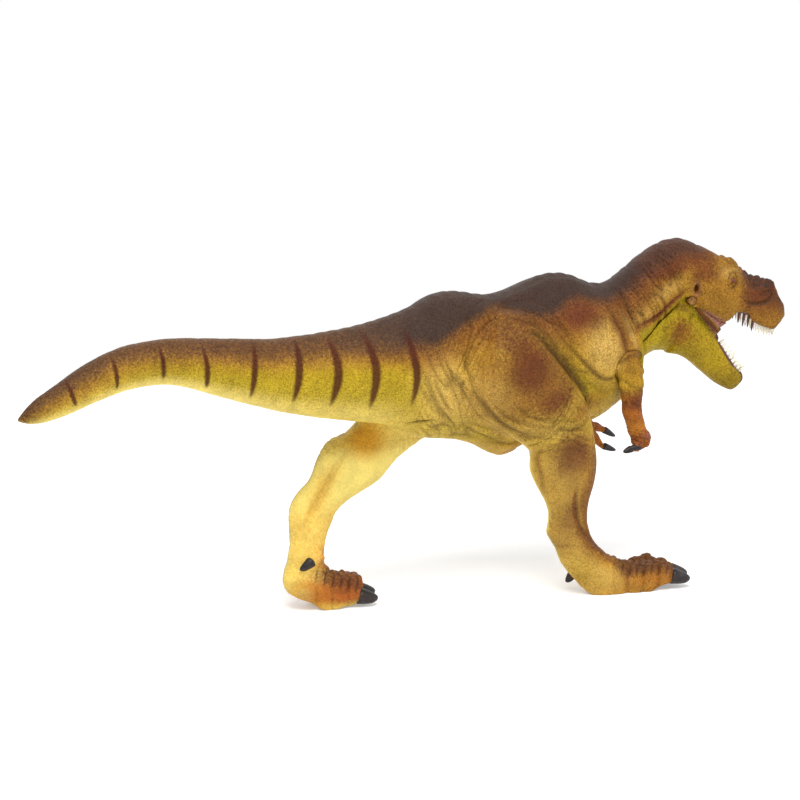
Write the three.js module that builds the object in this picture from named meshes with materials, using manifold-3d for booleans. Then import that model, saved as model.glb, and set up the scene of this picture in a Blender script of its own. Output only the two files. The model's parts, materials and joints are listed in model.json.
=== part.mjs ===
import * as THREE from 'three';
import Module from 'manifold-3d';

const wasm = await Module();
wasm.setup();

// Driving sizes of the figure, in millimetres. The nose points along +X, +Y is its left side and
// +Z is up. The working origin is on the ground, in the middle plane, under the tail seam.
const BACK_HEIGHT = 120;
const TAIL_LENGTH = 146.6;
const TORSO_LENGTH = 95;
const TORSO_WIDTH = 40;
const NECK_LENGTH = 34;
const NECK_WIDTH = 28;
const HEAD_LENGTH = 40;
const HEAD_DEPTH = 30;
const HEAD_WIDTH = 21;
const JAW_LENGTH = 40;
const JAW_DEPTH = 20;
const JAW_WIDTH = 16.4;
const HIP_WIDTH = 50;
const LEG_PROFILE = 106;
const ARM_LENGTH = 34;

// Fits between the pieces
const CLEARANCE = 0.3;
const OVERRUN = 6;

// Poses, in degrees
const HEAD_TURN = 10;
const JAW_OPEN = 52.8;
const JAW_CLOSING = 24;

const HALF = 1 / 2;
const FULL_TURN = 2 * Math.PI;
const QUARTER_TURN = Math.PI / 2;

const X_AXIS = new THREE.Vector3(1, 0, 0);
const Y_AXIS = new THREE.Vector3(0, 1, 0);
const Z_AXIS = new THREE.Vector3(0, 0, 1);

// Small helpers for solids

function solidOf(geometry) {
  return new wasm.Manifold(new wasm.Mesh({
    numProp: 3,
    vertProperties: new Float32Array(geometry.attributes.position.array),
    triVerts: new Uint32Array(geometry.index.array),
  }));
}

function geometryOf(solid) {
  const mesh = solid.getMesh();
  const geometry = new THREE.BufferGeometry();
  const points = new Float32Array(mesh.vertProperties);
  geometry.setAttribute('position', new THREE.BufferAttribute(points, 3));
  geometry.setIndex(new THREE.BufferAttribute(new Uint32Array(mesh.triVerts), 1));
  geometry.computeVertexNormals();
  return geometry;
}

function joined(solids) {
  return solids.reduce((whole, solid) => whole.add(solid));
}

function cut(solid, tools) {
  return tools.reduce((rest, tool) => rest.subtract(tool), solid);
}

// A closed skin over rings of points. Each end is closed by a fan to the middle of its last ring.
function skin(rings) {
  const count = rings[0].length;
  const points = rings.flat();
  const faces = [];
  for (let ring = 0; ring + 1 < rings.length; ring += 1) {
    for (let side = 0; side < count; side += 1) {
      const next = (side + 1) % count;
      const a = ring * count + side;
      const b = ring * count + next;
      faces.push(a, b, a + count, b, b + count, a + count);
    }
  }
  const firstPole = points.length;
  points.push(middleOf(rings[0]), middleOf(rings.at(-1)));
  const lastRing = (rings.length - 1) * count;
  for (let side = 0; side < count; side += 1) {
    const next = (side + 1) % count;
    faces.push(firstPole, next, side);
    faces.push(firstPole + 1, lastRing + side, lastRing + next);
  }
  const geometry = new THREE.BufferGeometry().setFromPoints(points);
  geometry.setIndex(faces);
  return facingOut(geometry);
}

function middleOf(ring) {
  const sum = ring.reduce((total, point) => total.add(point), new THREE.Vector3());
  return sum.divideScalar(ring.length);
}

// Turns every face round where the skin came out inside out, which its signed volume tells.
function facingOut(geometry) {
  const position = geometry.attributes.position;
  const index = geometry.index.array;
  const corners = [new THREE.Vector3(), new THREE.Vector3(), new THREE.Vector3()];
  let volume = 0;
  for (let i = 0; i < index.length; i += 3) {
    corners.forEach((corner, k) => corner.fromBufferAttribute(position, index[i + k]));
    volume += corners[0].dot(corners[1].cross(corners[2]));
  }
  if (volume < 0) {
    geometry.setIndex(Array.from(index).reverse());
  }
  return geometry;
}

// Moves a point outwards where a muscle swells, or inwards where a hollow has a negative rise.
function swollen(point, outward, swells) {
  const moved = point.clone();
  for (const { at, reach, rise } of swells) {
    const away = point.clone().sub(at).divide(reach).lengthSq();
    moved.addScaledVector(outward, rise * Math.exp(-away));
  }
  return moved;
}

// A swelling given in shares of three sizes. Its rise is a share of the second size.
function sharedSwell(at, reach, rise, sizes) {
  return {
    at: new THREE.Vector3(...at).multiply(sizes),
    reach: new THREE.Vector3(...reach).multiply(sizes),
    rise: rise * sizes.y,
  };
}

function onBothSides(swells) {
  const mirror = new THREE.Vector3(1, -1, 1);
  return swells.flatMap((one) => [one, { ...one, at: one.at.clone().multiply(mirror) }]);
}

const OVAL = 2;
const DOME_STEPS = 2;

// A loft through sections that each span two points of a side profile, front and back. A row is
// { front: [x, z], back: [x, z], right: y, left: y, square }. The superellipse power square is 2
// for an oval section and more for a boxy one. The ends are domed by startDome and endDome.
function profileLoft(rows, { sides, steps, grow = 0, startDome = 0, endDome = 0, swells = [] }) {
  const frontCurve = profileCurve(rows.map(({ front }) => new THREE.Vector3(front[0], 0, front[1])));
  const backCurve = profileCurve(rows.map(({ back }) => new THREE.Vector3(back[0], 0, back[1])));
  const sideCurve = profileCurve(
    rows.map(({ right, left, square = OVAL }) => new THREE.Vector3(right, left, square)),
  );
  const sections = [];
  const total = (rows.length - 1) * steps;
  for (let i = 0; i <= total; i += 1) {
    const front = frontCurve.getPoint(i / total);
    const back = backCurve.getPoint(i / total);
    const side = sideCurve.getPoint(i / total);
    const middle = front.clone().add(back).multiplyScalar(HALF);
    middle.y = (side.x + side.y) / 2;
    const reach = front.clone().sub(back).multiplyScalar(HALF);
    sections.push({
      middle,
      along: reach.clone().normalize(),
      reach: reach.length() + grow,
      half: Math.abs(side.y - side.x) / 2 + grow,
      square: side.z,
    });
  }
  const rings = [
    ...domeOf(sections[0], sections[1], startDome, grow).reverse(),
    ...sections,
    ...domeOf(sections.at(-1), sections.at(-2), endDome, grow),
  ];
  return skin(rings.map((section) => ringOf(section, sides, swells)));
}

function profileCurve(points) {
  return new THREE.CatmullRomCurve3(points, false, 'centripetal');
}

// The shrinking sections that round off a loft beyond its last section.
function domeOf(end, before, height, grow) {
  if (height === 0) {
    return [];
  }
  const normal = new THREE.Vector3().crossVectors(end.along, Y_AXIS).normalize();
  if (normal.dot(end.middle.clone().sub(before.middle)) < 0) {
    normal.negate();
  }
  const dome = [];
  for (let k = 1; k <= DOME_STEPS; k += 1) {
    const turn = (k / (DOME_STEPS + HALF)) * QUARTER_TURN;
    dome.push({
      ...end,
      middle: end.middle.clone().addScaledVector(normal, (height + grow) * Math.sin(turn)),
      reach: end.reach * Math.cos(turn),
      half: end.half * Math.cos(turn),
    });
  }
  return dome;
}

function ringOf(section, sides, swells) {
  const ring = [];
  for (let side = 0; side < sides; side += 1) {
    const turn = (side / sides) * FULL_TURN;
    const along = section.reach * superPower(Math.cos(turn), OVAL / section.square);
    const across = section.half * superPower(Math.sin(turn), OVAL / section.square);
    const point = section.middle.clone()
      .addScaledVector(section.along, along)
      .addScaledVector(Y_AXIS, across);
    const outward = point.clone().sub(section.middle).normalize();
    ring.push(swollen(point, outward, swells));
  }
  return ring;
}

function superPower(value, power) {
  return Math.sign(value) * Math.abs(value) ** power;
}

// A round taper along a path, such as a finger or a claw, with one radius at each point.
function taper(points, radii, sides, steps) {
  const path = profileCurve(points.map((point) => new THREE.Vector3(...point)));
  const radius = profileCurve(radii.map((value, i) => new THREE.Vector3(value, i, 0)));
  const total = (points.length - 1) * steps;
  const rings = [];
  for (let i = 0; i <= total; i += 1) {
    const tangent = path.getTangent(i / total);
    const across = Math.abs(tangent.y) > HALF ? X_AXIS : Y_AXIS;
    const up = across.clone().cross(tangent).normalize();
    const level = tangent.clone().cross(up).normalize();
    const size = radius.getPoint(i / total).x;
    const middle = path.getPoint(i / total);
    const ring = [];
    for (let side = 0; side < sides; side += 1) {
      const turn = (side / sides) * FULL_TURN;
      const point = middle.clone().addScaledVector(up, size * Math.cos(turn));
      ring.push(point.addScaledVector(level, size * Math.sin(turn)));
    }
    rings.push(ring);
  }
  return skin(rings);
}

// A round bar along Y between two depths, centred on a point of the side profile.
function crossBar(x, z, radius, fromY, toY, sides) {
  const points = [[x, fromY, z], [x, toY, z]];
  return taper(points, [radius, radius], sides, 1);
}

// A plate with the outline of a side profile, extruded across the middle plane.
function profilePlate(outline, halfThickness) {
  const shape = new THREE.Shape(outline.map(([x, z]) => new THREE.Vector2(x, z)));
  const plate = new THREE.ExtrudeGeometry(shape, { depth: 2 * halfThickness, bevelEnabled: false });
  plate.rotateX(QUARTER_TURN);
  plate.translate(0, halfThickness, 0);
  return closedGeometry(plate);
}

const SAME_POINT_DIGITS = 5;

// Merges the doubled corners of a stock geometry so that it is one closed mesh.
function closedGeometry(geometry) {
  const source = geometry.index ? geometry.toNonIndexed() : geometry;
  const position = source.attributes.position;
  const seen = new Map();
  const points = [];
  const faces = [];
  for (let i = 0; i < position.count; i += 1) {
    const point = new THREE.Vector3().fromBufferAttribute(position, i);
    const key = point.toArray().map((value) => value.toFixed(SAME_POINT_DIGITS)).join();
    if (!seen.has(key)) {
      seen.set(key, points.length);
      points.push(point);
    }
    faces.push(seen.get(key));
  }
  const proper = faces.filter((corner, i) => {
    const [a, b, c] = faces.slice(i - i % 3, i - i % 3 + 3);
    return a !== b && b !== c && c !== a;
  });
  const merged = new THREE.BufferGeometry().setFromPoints(points);
  merged.setIndex(proper);
  return facingOut(merged);
}

// Trunk: one continuous body from the tail tip to the chest, split at the tail seam.
// Each row has the back point, the belly point and the half width of one section.
const TRUNK_SIDES = 20;
const TRUNK_STEPS = 2;
const TAIL_TIP_DOME = 1.2;
const TAIL_PROFILE_SHARES = [
  [-0.996, 0.699, -0.997, 0.679, 0.025],
  [-0.968, 0.735, -0.968, 0.67, 0.07],
  [-0.924, 0.768, -0.924, 0.676, 0.105],
  [-0.84, 0.829, -0.84, 0.706, 0.14],
  [-0.74, 0.877, -0.74, 0.746, 0.165],
  [-0.64, 0.891, -0.64, 0.76, 0.18],
  [-0.49, 0.877, -0.49, 0.702, 0.21],
  [-0.34, 0.865, -0.34, 0.641, 0.25],
  [-0.185, 0.874, -0.185, 0.603, 0.31],
  [-0.08, 0.896, -0.08, 0.579, 0.355],
];
const TORSO_PROFILE_SHARES = [
  [0, 0.925, 0, 0.536, 0.388],
  [0.084, 0.958, 0.084, 0.519, 0.412],
  [0.184, 0.962, 0.184, 0.512, 0.425],
  [0.31, 0.942, 0.31, 0.505, 0.43],
  [0.42, 0.96, 0.42, 0.503, 0.455],
  [0.526, 0.992, 0.537, 0.507, 0.48],
  [0.62, 0.998, 0.663, 0.514, 0.492],
  [0.695, 0.976, 0.782, 0.545, 0.483],
  [0.747, 0.954, 0.859, 0.586, 0.455],
  [0.779, 0.951, 0.937, 0.62, 0.425],
  [0.8, 0.95, 0.957, 0.673, 0.39],
  [0.832, 0.954, 0.965, 0.721, 0.36],
];

function trunkPoint([along, height]) {
  return [along * TORSO_LENGTH, height * BACK_HEIGHT];
}

function trunkRow([backX, backZ, bellyX, bellyZ, half], length) {
  return {
    front: [backX * length, backZ * BACK_HEIGHT],
    back: [bellyX * length, bellyZ * BACK_HEIGHT],
    right: -half * TORSO_WIDTH,
    left: half * TORSO_WIDTH,
  };
}

// Swells of the trunk: the bulge between the legs, the haunches and the shoulder blades.
const PUBIS_SHARES = { at: [0.375, 0, 0.5], reach: [0.115, 0.2, 0.07], rise: 0.19 };
const SHOULDER_BLADE_SHARES = { at: [0.8, 0.45, 0.84], reach: [0.1, 0.4, 0.12], rise: 0.05 };
const HAUNCH_SHARES = { at: [0.25, 0.3, 0.93], reach: [0.22, 0.22, 0.06], rise: 0.045 };

function trunkSwell({ at, reach, rise }) {
  const sizes = new THREE.Vector3(TORSO_LENGTH, TORSO_WIDTH, BACK_HEIGHT);
  return sharedSwell(at, reach, rise, sizes);
}

function trunkGeometry() {
  const rows = [
    ...TAIL_PROFILE_SHARES.map((row) => trunkRow(row, TAIL_LENGTH)),
    ...TORSO_PROFILE_SHARES.map((row) => trunkRow(row, TORSO_LENGTH)),
  ];
  const pairs = [SHOULDER_BLADE_SHARES, HAUNCH_SHARES].map(trunkSwell);
  return profileLoft(rows, {
    sides: TRUNK_SIDES,
    steps: TRUNK_STEPS,
    startDome: TAIL_TIP_DOME,
    swells: [trunkSwell(PUBIS_SHARES), ...onBothSides(pairs)],
  });
}

// The space on one side of a seam: a block whose flat face lies on the line through two profile
// points, and which lies to the side that the line's left hand gives.
function seamBlock(from, to, shift) {
  const line = new THREE.Vector2(to[0] - from[0], to[1] - from[1]).normalize();
  const away = new THREE.Vector2(-line.y, line.x);
  const size = TAIL_LENGTH + TORSO_LENGTH + BACK_HEIGHT;
  const start = new THREE.Vector2(...from).addScaledVector(line, -size).addScaledVector(away, shift);
  const end = start.clone().addScaledVector(line, 2 * size);
  const far = [end, start].map((corner) => corner.clone().addScaledVector(away, size));
  return profilePlate([start, end, ...far].map((point) => point.toArray()), size);
}

// Tail plug: an upright oval peg that goes from the tail into the torso, between the thighs.
const TAIL_PLUG_LENGTH = 12;
const TAIL_PLUG_HALF_WIDTH = 3.4;
const TAIL_PLUG_HALF_HEIGHT = 9;
const TAIL_PLUG_MIDDLE_SHARE = 0.735;
const PLUG_SIDES = 12;

const TAIL_SEAM_TOP = [0, BACK_HEIGHT];
const TAIL_SEAM_BOTTOM = [0, 0];

function tailPlug(grow) {
  const middle = TAIL_PLUG_MIDDLE_SHARE * BACK_HEIGHT;
  const rows = [-OVERRUN, TAIL_PLUG_LENGTH + grow].map((x) => ({
    front: [x, middle + TAIL_PLUG_HALF_HEIGHT],
    back: [x, middle - TAIL_PLUG_HALF_HEIGHT],
    right: -TAIL_PLUG_HALF_WIDTH,
    left: TAIL_PLUG_HALF_WIDTH,
  }));
  return profileLoft(rows, { sides: PLUG_SIDES, steps: 1, grow });
}

// Neck seam: from the dip behind the neck down to the front of the chest.
const NECK_SEAM_TOP_SHARES = [0.8, 0.95];
const NECK_SEAM_BOTTOM_SHARES = [0.99, 0.68];
const NECK_SEAM_TOP = trunkPoint(NECK_SEAM_TOP_SHARES);
const NECK_SEAM_BOTTOM = trunkPoint(NECK_SEAM_BOTTOM_SHARES);
const NECK_PLUG_LENGTH = 9;
const NECK_PLUG_RADIUS = 6.5;
const NECK_PLUG_SHARE = 0.4;

function neckPlug(grow) {
  const line = new THREE.Vector2(...NECK_SEAM_BOTTOM).sub(new THREE.Vector2(...NECK_SEAM_TOP));
  const into = new THREE.Vector2(line.y, -line.x).normalize();
  const middle = new THREE.Vector2(...NECK_SEAM_TOP).addScaledVector(line, NECK_PLUG_SHARE);
  const inner = middle.clone().addScaledVector(into, NECK_PLUG_LENGTH + grow);
  const outer = middle.clone().addScaledVector(into, -OVERRUN);
  const radius = NECK_PLUG_RADIUS + grow;
  return taper([[outer.x, 0, outer.y], [inner.x, 0, inner.y]], [radius, radius], PLUG_SIDES, 1);
}

// Legs: each is one moulding from the hip to the claws. A row has the front and back points of
// the side profile from under the hip, and how far the inner and outer faces are from the middle.
const HIP_SHARE = 0.305;
const HIP_X = HIP_SHARE * TORSO_LENGTH;
const LEG_SIDES = 14;
const LEG_STEPS = 2;
const LEG_SQUARE = 2.2;
const HIP_DOME = 2;
const ANKLE_DOME = 3;
const RIGHT_LEG_SHARES = [
  [0.108, 1.014, 0, 1.019, 0.18, 0.34],
  [0.156, 0.972, -0.042, 0.976, 0.13, 0.43],
  [0.208, 0.906, -0.087, 0.91, 0.112, 0.486],
  [0.264, 0.825, -0.108, 0.825, 0.11, 0.5],
  [0.304, 0.741, -0.094, 0.741, 0.11, 0.496],
  [0.328, 0.67, -0.047, 0.665, 0.116, 0.48],
  [0.346, 0.604, 0.033, 0.6, 0.124, 0.46],
  [0.358, 0.53, 0.112, 0.541, 0.136, 0.44],
  [0.363, 0.472, 0.111, 0.476, 0.14, 0.426],
  [0.358, 0.412, 0.14, 0.411, 0.148, 0.4],
  [0.341, 0.35, 0.176, 0.352, 0.16, 0.368],
  [0.337, 0.292, 0.195, 0.292, 0.152, 0.34],
  [0.351, 0.236, 0.19, 0.236, 0.136, 0.328],
  [0.371, 0.193, 0.228, 0.18, 0.128, 0.324],
  [0.418, 0.145, 0.247, 0.122, 0.116, 0.324],
  [0.472, 0.104, 0.312, 0.049, 0.1, 0.34],
  [0.519, 0.092, 0.386, -0.024, 0.09, 0.356],
  [0.576, 0.072, 0.481, -0.019, 0.1, 0.34],
];
const LEFT_LEG_SHARES = [
  [0.123, 0.953, -0.028, 1.019, 0.18, 0.34],
  [0.16, 0.882, -0.113, 0.99, 0.13, 0.44],
  [0.132, 0.783, -0.198, 0.925, 0.112, 0.486],
  [0.066, 0.703, -0.283, 0.845, 0.11, 0.496],
  [-0.028, 0.635, -0.352, 0.742, 0.112, 0.472],
  [-0.127, 0.587, -0.408, 0.655, 0.12, 0.448],
  [-0.213, 0.54, -0.458, 0.603, 0.128, 0.428],
  [-0.286, 0.49, -0.501, 0.594, 0.132, 0.42],
  [-0.343, 0.425, -0.545, 0.566, 0.136, 0.416],
  [-0.411, 0.392, -0.578, 0.5, 0.14, 0.404],
  [-0.468, 0.364, -0.6, 0.446, 0.148, 0.38],
  [-0.509, 0.33, -0.639, 0.418, 0.152, 0.356],
  [-0.525, 0.297, -0.677, 0.368, 0.148, 0.336],
  [-0.542, 0.264, -0.682, 0.302, 0.144, 0.328],
  [-0.557, 0.217, -0.678, 0.236, 0.144, 0.324],
  [-0.56, 0.17, -0.688, 0.175, 0.136, 0.324],
  [-0.542, 0.127, -0.707, 0.108, 0.12, 0.332],
  [-0.491, 0.106, -0.688, 0.064, 0.104, 0.344],
  [-0.434, 0.095, -0.594, 0.016, 0.092, 0.352],
  [-0.415, 0.075, -0.5, -0.019, 0.1, 0.34],
];

// Toes: three in front on each foot and a small one behind. Heights are above the sole.
const TOE_LENGTH = 22;
const TOE_HEIGHT = 9.8;
const TOE_WIDTH = 7.2;
const TOE_SPREAD = 10;
const CLAW_LENGTH = 6.5;
const SOLE_PRESS = 2;
const TOE_SIDES = 8;
const CLAW_STEPS = 2;
// Along the toe, height of the top, rise of the sole and half width, with a swelling for each pad.
const TOE_PROFILE_SHARES = [
  [0, 0.72, 0, 0.42],
  [0.2, 0.98, 0, 0.5],
  [0.36, 0.84, 0, 0.45],
  [0.5, 1, 0.1, 0.5],
  [0.66, 0.88, 0.22, 0.43],
  [0.8, 0.94, 0.32, 0.45],
  [0.94, 0.72, 0.4, 0.36],
];
const TOE_TIP_DOME = 1.6;
const TOE_SQUARE = 2.5;
const HEEL_REACH_SHARE = 0.45;
// Along the claw, from its root to its tip, how far it is and its radius.
const TOE_CLAW_SHARES = [
  [-0.45, 0.32],
  [0.4, 0.27],
  [1, 0.05],
];
const HALLUX_RADIUS = 1.9;
const HALLUX_TAPER_SHARES = [1, 0.8, 0.2];

// One toe, from its root, heading away from the nose direction by the given angle.
function toe(root, heading, length, { heelLift, clawHeightShares }) {
  const liftAt = (share) => heelLift * Math.max(0, 1 - share / HEEL_REACH_SHARE) ** 2;
  const rows = TOE_PROFILE_SHARES.map(([along, top, rise, half]) => ({
    front: [along * length, top * TOE_HEIGHT + liftAt(along)],
    back: [along * length, liftAt(along) + rise * TOE_HEIGHT - SOLE_PRESS],
    right: -half * TOE_WIDTH,
    left: half * TOE_WIDTH,
    square: TOE_SQUARE,
  }));
  const flesh = profileLoft(rows, { sides: TOE_SIDES, steps: 1, endDome: TOE_TIP_DOME });
  const heights = clawHeightShares.map((share) => share * TOE_HEIGHT);
  const nailPath = TOE_CLAW_SHARES.map(([along], i) => [length + along * CLAW_LENGTH, 0, heights[i]]);
  const nailRadii = TOE_CLAW_SHARES.map(([, radius]) => radius * TOE_WIDTH);
  const nail = taper(nailPath, nailRadii, TOE_SIDES, CLAW_STEPS);
  return [flesh, nail].map((geometry) => {
    geometry.rotateZ(THREE.MathUtils.degToRad(heading));
    geometry.translate(...root);
    return solidOf(geometry);
  });
}

// The small first toe on the inner side of the foot, a stub with a claw that points down and back.
function hallux(root, tip) {
  const middle = root.map((value, i) => (value + tip[i]) / 2);
  const radii = HALLUX_TAPER_SHARES.map((share) => share * HALLUX_RADIUS);
  return solidOf(taper([root, middle, tip], radii, TOE_SIDES, 1));
}

function legRow([frontX, frontZ, backX, backZ, inner, outer], side) {
  const innerY = side * inner * HIP_WIDTH;
  const outerY = side * outer * HIP_WIDTH;
  return {
    front: [HIP_X + frontX * LEG_PROFILE, frontZ * LEG_PROFILE],
    back: [HIP_X + backX * LEG_PROFILE, backZ * LEG_PROFILE],
    right: Math.min(innerY, outerY),
    left: Math.max(innerY, outerY),
    square: LEG_SQUARE,
  };
}

function legGeometry(shares, side, grow) {
  const rows = shares.map((row) => legRow(row, side));
  return profileLoft(rows, {
    sides: LEG_SIDES, steps: LEG_STEPS, grow, startDome: HIP_DOME, endDome: ANKLE_DOME,
  });
}

// Hip peg: a square key on the inner face of the thigh that goes into the torso.
const HIP_PEG_SIZE = 9;
const HIP_PEG_END = 2.2;
const HIP_PEG_SHARES = [0.07, 0.86];
const THIGH_INNER_SHARE = 0.11;

function hipPeg(side, grow) {
  const outer = THIGH_INNER_SHARE * HIP_WIDTH + OVERRUN;
  const inner = HIP_PEG_END - grow;
  const size = HIP_PEG_SIZE + 2 * grow;
  const box = new THREE.BoxGeometry(size, outer - inner, size);
  const [x, z] = HIP_PEG_SHARES.map((share) => share * LEG_PROFILE);
  box.translate(HIP_X + x, side * (inner + outer) / 2, z);
  return closedGeometry(box);
}

function groundBlock() {
  const size = TAIL_LENGTH + TORSO_LENGTH;
  const block = new THREE.BoxGeometry(2 * size, 2 * size, size);
  block.translate(0, 0, -size / 2);
  return closedGeometry(block);
}

// Where each foot's toes start, how long they are, its small first toe and its claws' heights.
const LEFT_HEEL_LIFT = 4.5;
const RIGHT_FOOT = {
  rootShares: [0.478, 0.21],
  lengthShare: 1,
  heelLift: 0,
  clawHeightShares: [0.47, 0.39, 0.22],
  halluxShares: [[0.375, 0.085, 0.125], [0.293, 0.047, 0.115]],
};
const LEFT_FOOT = {
  rootShares: [-0.61, 0.26],
  lengthShare: 0.93,
  heelLift: LEFT_HEEL_LIFT,
  clawHeightShares: [0.46, 0.28, 0.04],
  halluxShares: [[-0.58, 0.2, 0.13], [-0.655, 0.148, 0.115]],
};
const TOE_GAP_SHARE = 0.07;
const SIDE_TOE_SHARE = 0.9;
const MIDDLE_TOE_TURN = 2;

function footSolids(foot, side) {
  const [along, line] = foot.rootShares;
  const place = (gap) => [HIP_X + along * LEG_PROFILE, side * (line + gap) * HIP_WIDTH, 0];
  const spur = foot.halluxShares.map(([x, z, y]) => (
    [HIP_X + x * LEG_PROFILE, side * y * HIP_WIDTH, z * LEG_PROFILE]
  ));
  const length = TOE_LENGTH * foot.lengthShare;
  return [
    ...toe(place(0), side * MIDDLE_TOE_TURN, length, foot),
    ...toe(place(TOE_GAP_SHARE), side * TOE_SPREAD, length * SIDE_TOE_SHARE, foot),
    ...toe(place(-TOE_GAP_SHARE), -side * TOE_SPREAD, length * SIDE_TOE_SHARE, foot),
    hallux(...spur),
  ];
}

function leg(shares, foot, side) {
  const limb = solidOf(legGeometry(shares, side, 0)).add(solidOf(hipPeg(side, 0)));
  return joined([limb, ...footSolids(foot, side)]).subtract(solidOf(groundBlock()));
}

function legSocket(shares, side) {
  return solidOf(legGeometry(shares, side, CLEARANCE)).add(solidOf(hipPeg(side, CLEARANCE)));
}

// Arms: a round shoulder boss that turns in a round recess of the chest, on a peg, and a short
// arm with two clawed fingers.
const SHOULDER_SHARES = [0.838, 0.715];
const SHOULDER_FACE_SHARE = 0.34;
const SHOULDER_CROWN_SHARE = 0.485;
const HAND_LINE_SHARE = 0.385;
const [SHOULDER_X, SHOULDER_Z] = trunkPoint(SHOULDER_SHARES);
const SHOULDER_RADIUS = 6.7;
const SHOULDER_FACE = SHOULDER_FACE_SHARE * TORSO_WIDTH;
const SHOULDER_CROWN = SHOULDER_CROWN_SHARE * TORSO_WIDTH;
const SHOULDER_PEG_RADIUS = 2.5;
const SHOULDER_PEG_LENGTH = 7;
const HAND_LINE = HAND_LINE_SHARE * TORSO_WIDTH;
const ARM_SIDES = 12;
const FINGER_SIDES = 7;
const SHOULDER_SIDES = 24;
const FINGER_RADIUS = 1.6;
// Down the arm from the shoulder, forward and half thickness, as shares of its length, then how
// far its inner and outer faces are from the middle, as shares of the torso's width.
const RIGHT_ARM_SHARES = [
  [0, 0, 0.153, 0.35, 0.47],
  [0.18, -0.003, 0.148, 0.405, 0.525],
  [0.34, 0.005, 0.126, 0.395, 0.525],
  [0.5, 0.032, 0.116, 0.36, 0.5],
  [0.64, 0.085, 0.112, 0.33, 0.478],
  [0.76, 0.138, 0.106, 0.31, 0.465],
  [0.84, 0.15, 0.09, 0.32, 0.45],
];
const LEFT_ARM_SHARES = [
  [0, 0, 0.153, 0.35, 0.47],
  [0.18, -0.02, 0.148, 0.42, 0.53],
  [0.34, -0.05, 0.122, 0.42, 0.53],
  [0.5, -0.075, 0.108, 0.4, 0.51],
  [0.64, -0.09, 0.102, 0.37, 0.49],
  [0.76, -0.07, 0.098, 0.34, 0.47],
  [0.85, -0.02, 0.085, 0.33, 0.45],
];
const ARM_DOME = 1.5;
// The two fingers of each hand, down and forward, and then their claws from the last joint on.
const RIGHT_FINGER_SHARES = [
  [[0.74, 0.18], [0.8, 0.215], [0.86, 0.2], [0.88, 0.15]],
  [[0.78, 0.13], [0.87, 0.165], [0.93, 0.15], [0.92, 0.09]],
];
const LEFT_FINGER_SHARES = [
  [[0.81, -0.03], [0.85, 0.04], [0.885, 0.13], [0.905, 0.19]],
  [[0.85, -0.04], [0.94, 0.03], [1.01, 0.08], [1.07, 0.14]],
];
const RIGHT_CLAW_SHARES = [
  [[0.88, 0.15], [0.88, 0.08], [0.89, 0.02]],
  [[0.92, 0.09], [0.93, 0.04], [0.95, -0.01]],
];
const LEFT_CLAW_SHARES = [
  [[0.905, 0.19], [0.945, 0.26], [1, 0.34]],
  [[1.07, 0.14], [1.1, 0.21], [1.14, 0.3]],
];
const FINGER_TAPER_SHARES = [1.1, 1.1, 1, 0.8];
const FINGER_CLAW_TAPER_SHARES = [0.85, 0.55, 0.12];
const FINGER_SPLIT = 1.6;
// The dome of the shoulder: its radius and how far it stands out, as shares.
const SHOULDER_DOME_SHARES = [
  [1, 0.4],
  [0.8, 0.8],
  [0.4, 1],
];

function armPoint([down, forward], y) {
  return [SHOULDER_X + forward * ARM_LENGTH, y, SHOULDER_Z - down * ARM_LENGTH];
}

// The domed boss, turned about the shoulder axis, from the recess face out to its crown.
function shoulderBoss(side) {
  const outline = [[0, 0], [1, 0], ...SHOULDER_DOME_SHARES, [0, 1]].map(([radius, out]) => (
    new THREE.Vector2(radius * SHOULDER_RADIUS, SHOULDER_FACE + out * (SHOULDER_CROWN - SHOULDER_FACE))
  ));
  const boss = new THREE.LatheGeometry(outline, SHOULDER_SIDES);
  if (side < 0) {
    boss.rotateX(Math.PI);
  }
  boss.translate(SHOULDER_X, 0, SHOULDER_Z);
  return closedGeometry(boss);
}

function shoulderPeg(side, grow) {
  const inner = SHOULDER_FACE - SHOULDER_PEG_LENGTH - grow;
  const outer = SHOULDER_FACE + CLEARANCE;
  const radius = SHOULDER_PEG_RADIUS + grow;
  return crossBar(SHOULDER_X, SHOULDER_Z, radius, side * inner, side * outer, ARM_SIDES);
}

function shoulderRecess(side) {
  const inner = SHOULDER_FACE - CLEARANCE;
  const outer = SHOULDER_FACE + TORSO_WIDTH / 2;
  const radius = SHOULDER_RADIUS + CLEARANCE;
  const recess = crossBar(SHOULDER_X, SHOULDER_Z, radius, side * inner, side * outer, SHOULDER_SIDES);
  return solidOf(recess).add(solidOf(shoulderPeg(side, CLEARANCE)));
}

function arm(side, limbShares, fingers, claws) {
  const rows = limbShares.map(([down, forward, half, inner, outer]) => {
    const [x, , z] = armPoint([down, forward], 0);
    const faces = [inner, outer].map((share) => side * share * TORSO_WIDTH);
    return {
      front: [x + half * ARM_LENGTH, z],
      back: [x - half * ARM_LENGTH, z],
      right: Math.min(...faces),
      left: Math.max(...faces),
    };
  });
  const limb = profileLoft(rows, { sides: ARM_SIDES, steps: 1, endDome: ARM_DOME });
  const digit = (thickness) => (points, i) => taper(
    points.map((point) => armPoint(point, side * (HAND_LINE + (i === 0 ? FINGER_SPLIT : -FINGER_SPLIT)))),
    thickness.map((share) => share * FINGER_RADIUS), FINGER_SIDES, 1,
  );
  const fleshes = fingers.map(digit(FINGER_TAPER_SHARES));
  const nails = claws.map(digit(FINGER_CLAW_TAPER_SHARES));
  return joined([shoulderBoss(side), shoulderPeg(side, 0), limb, ...fleshes, ...nails].map(solidOf));
}

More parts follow.
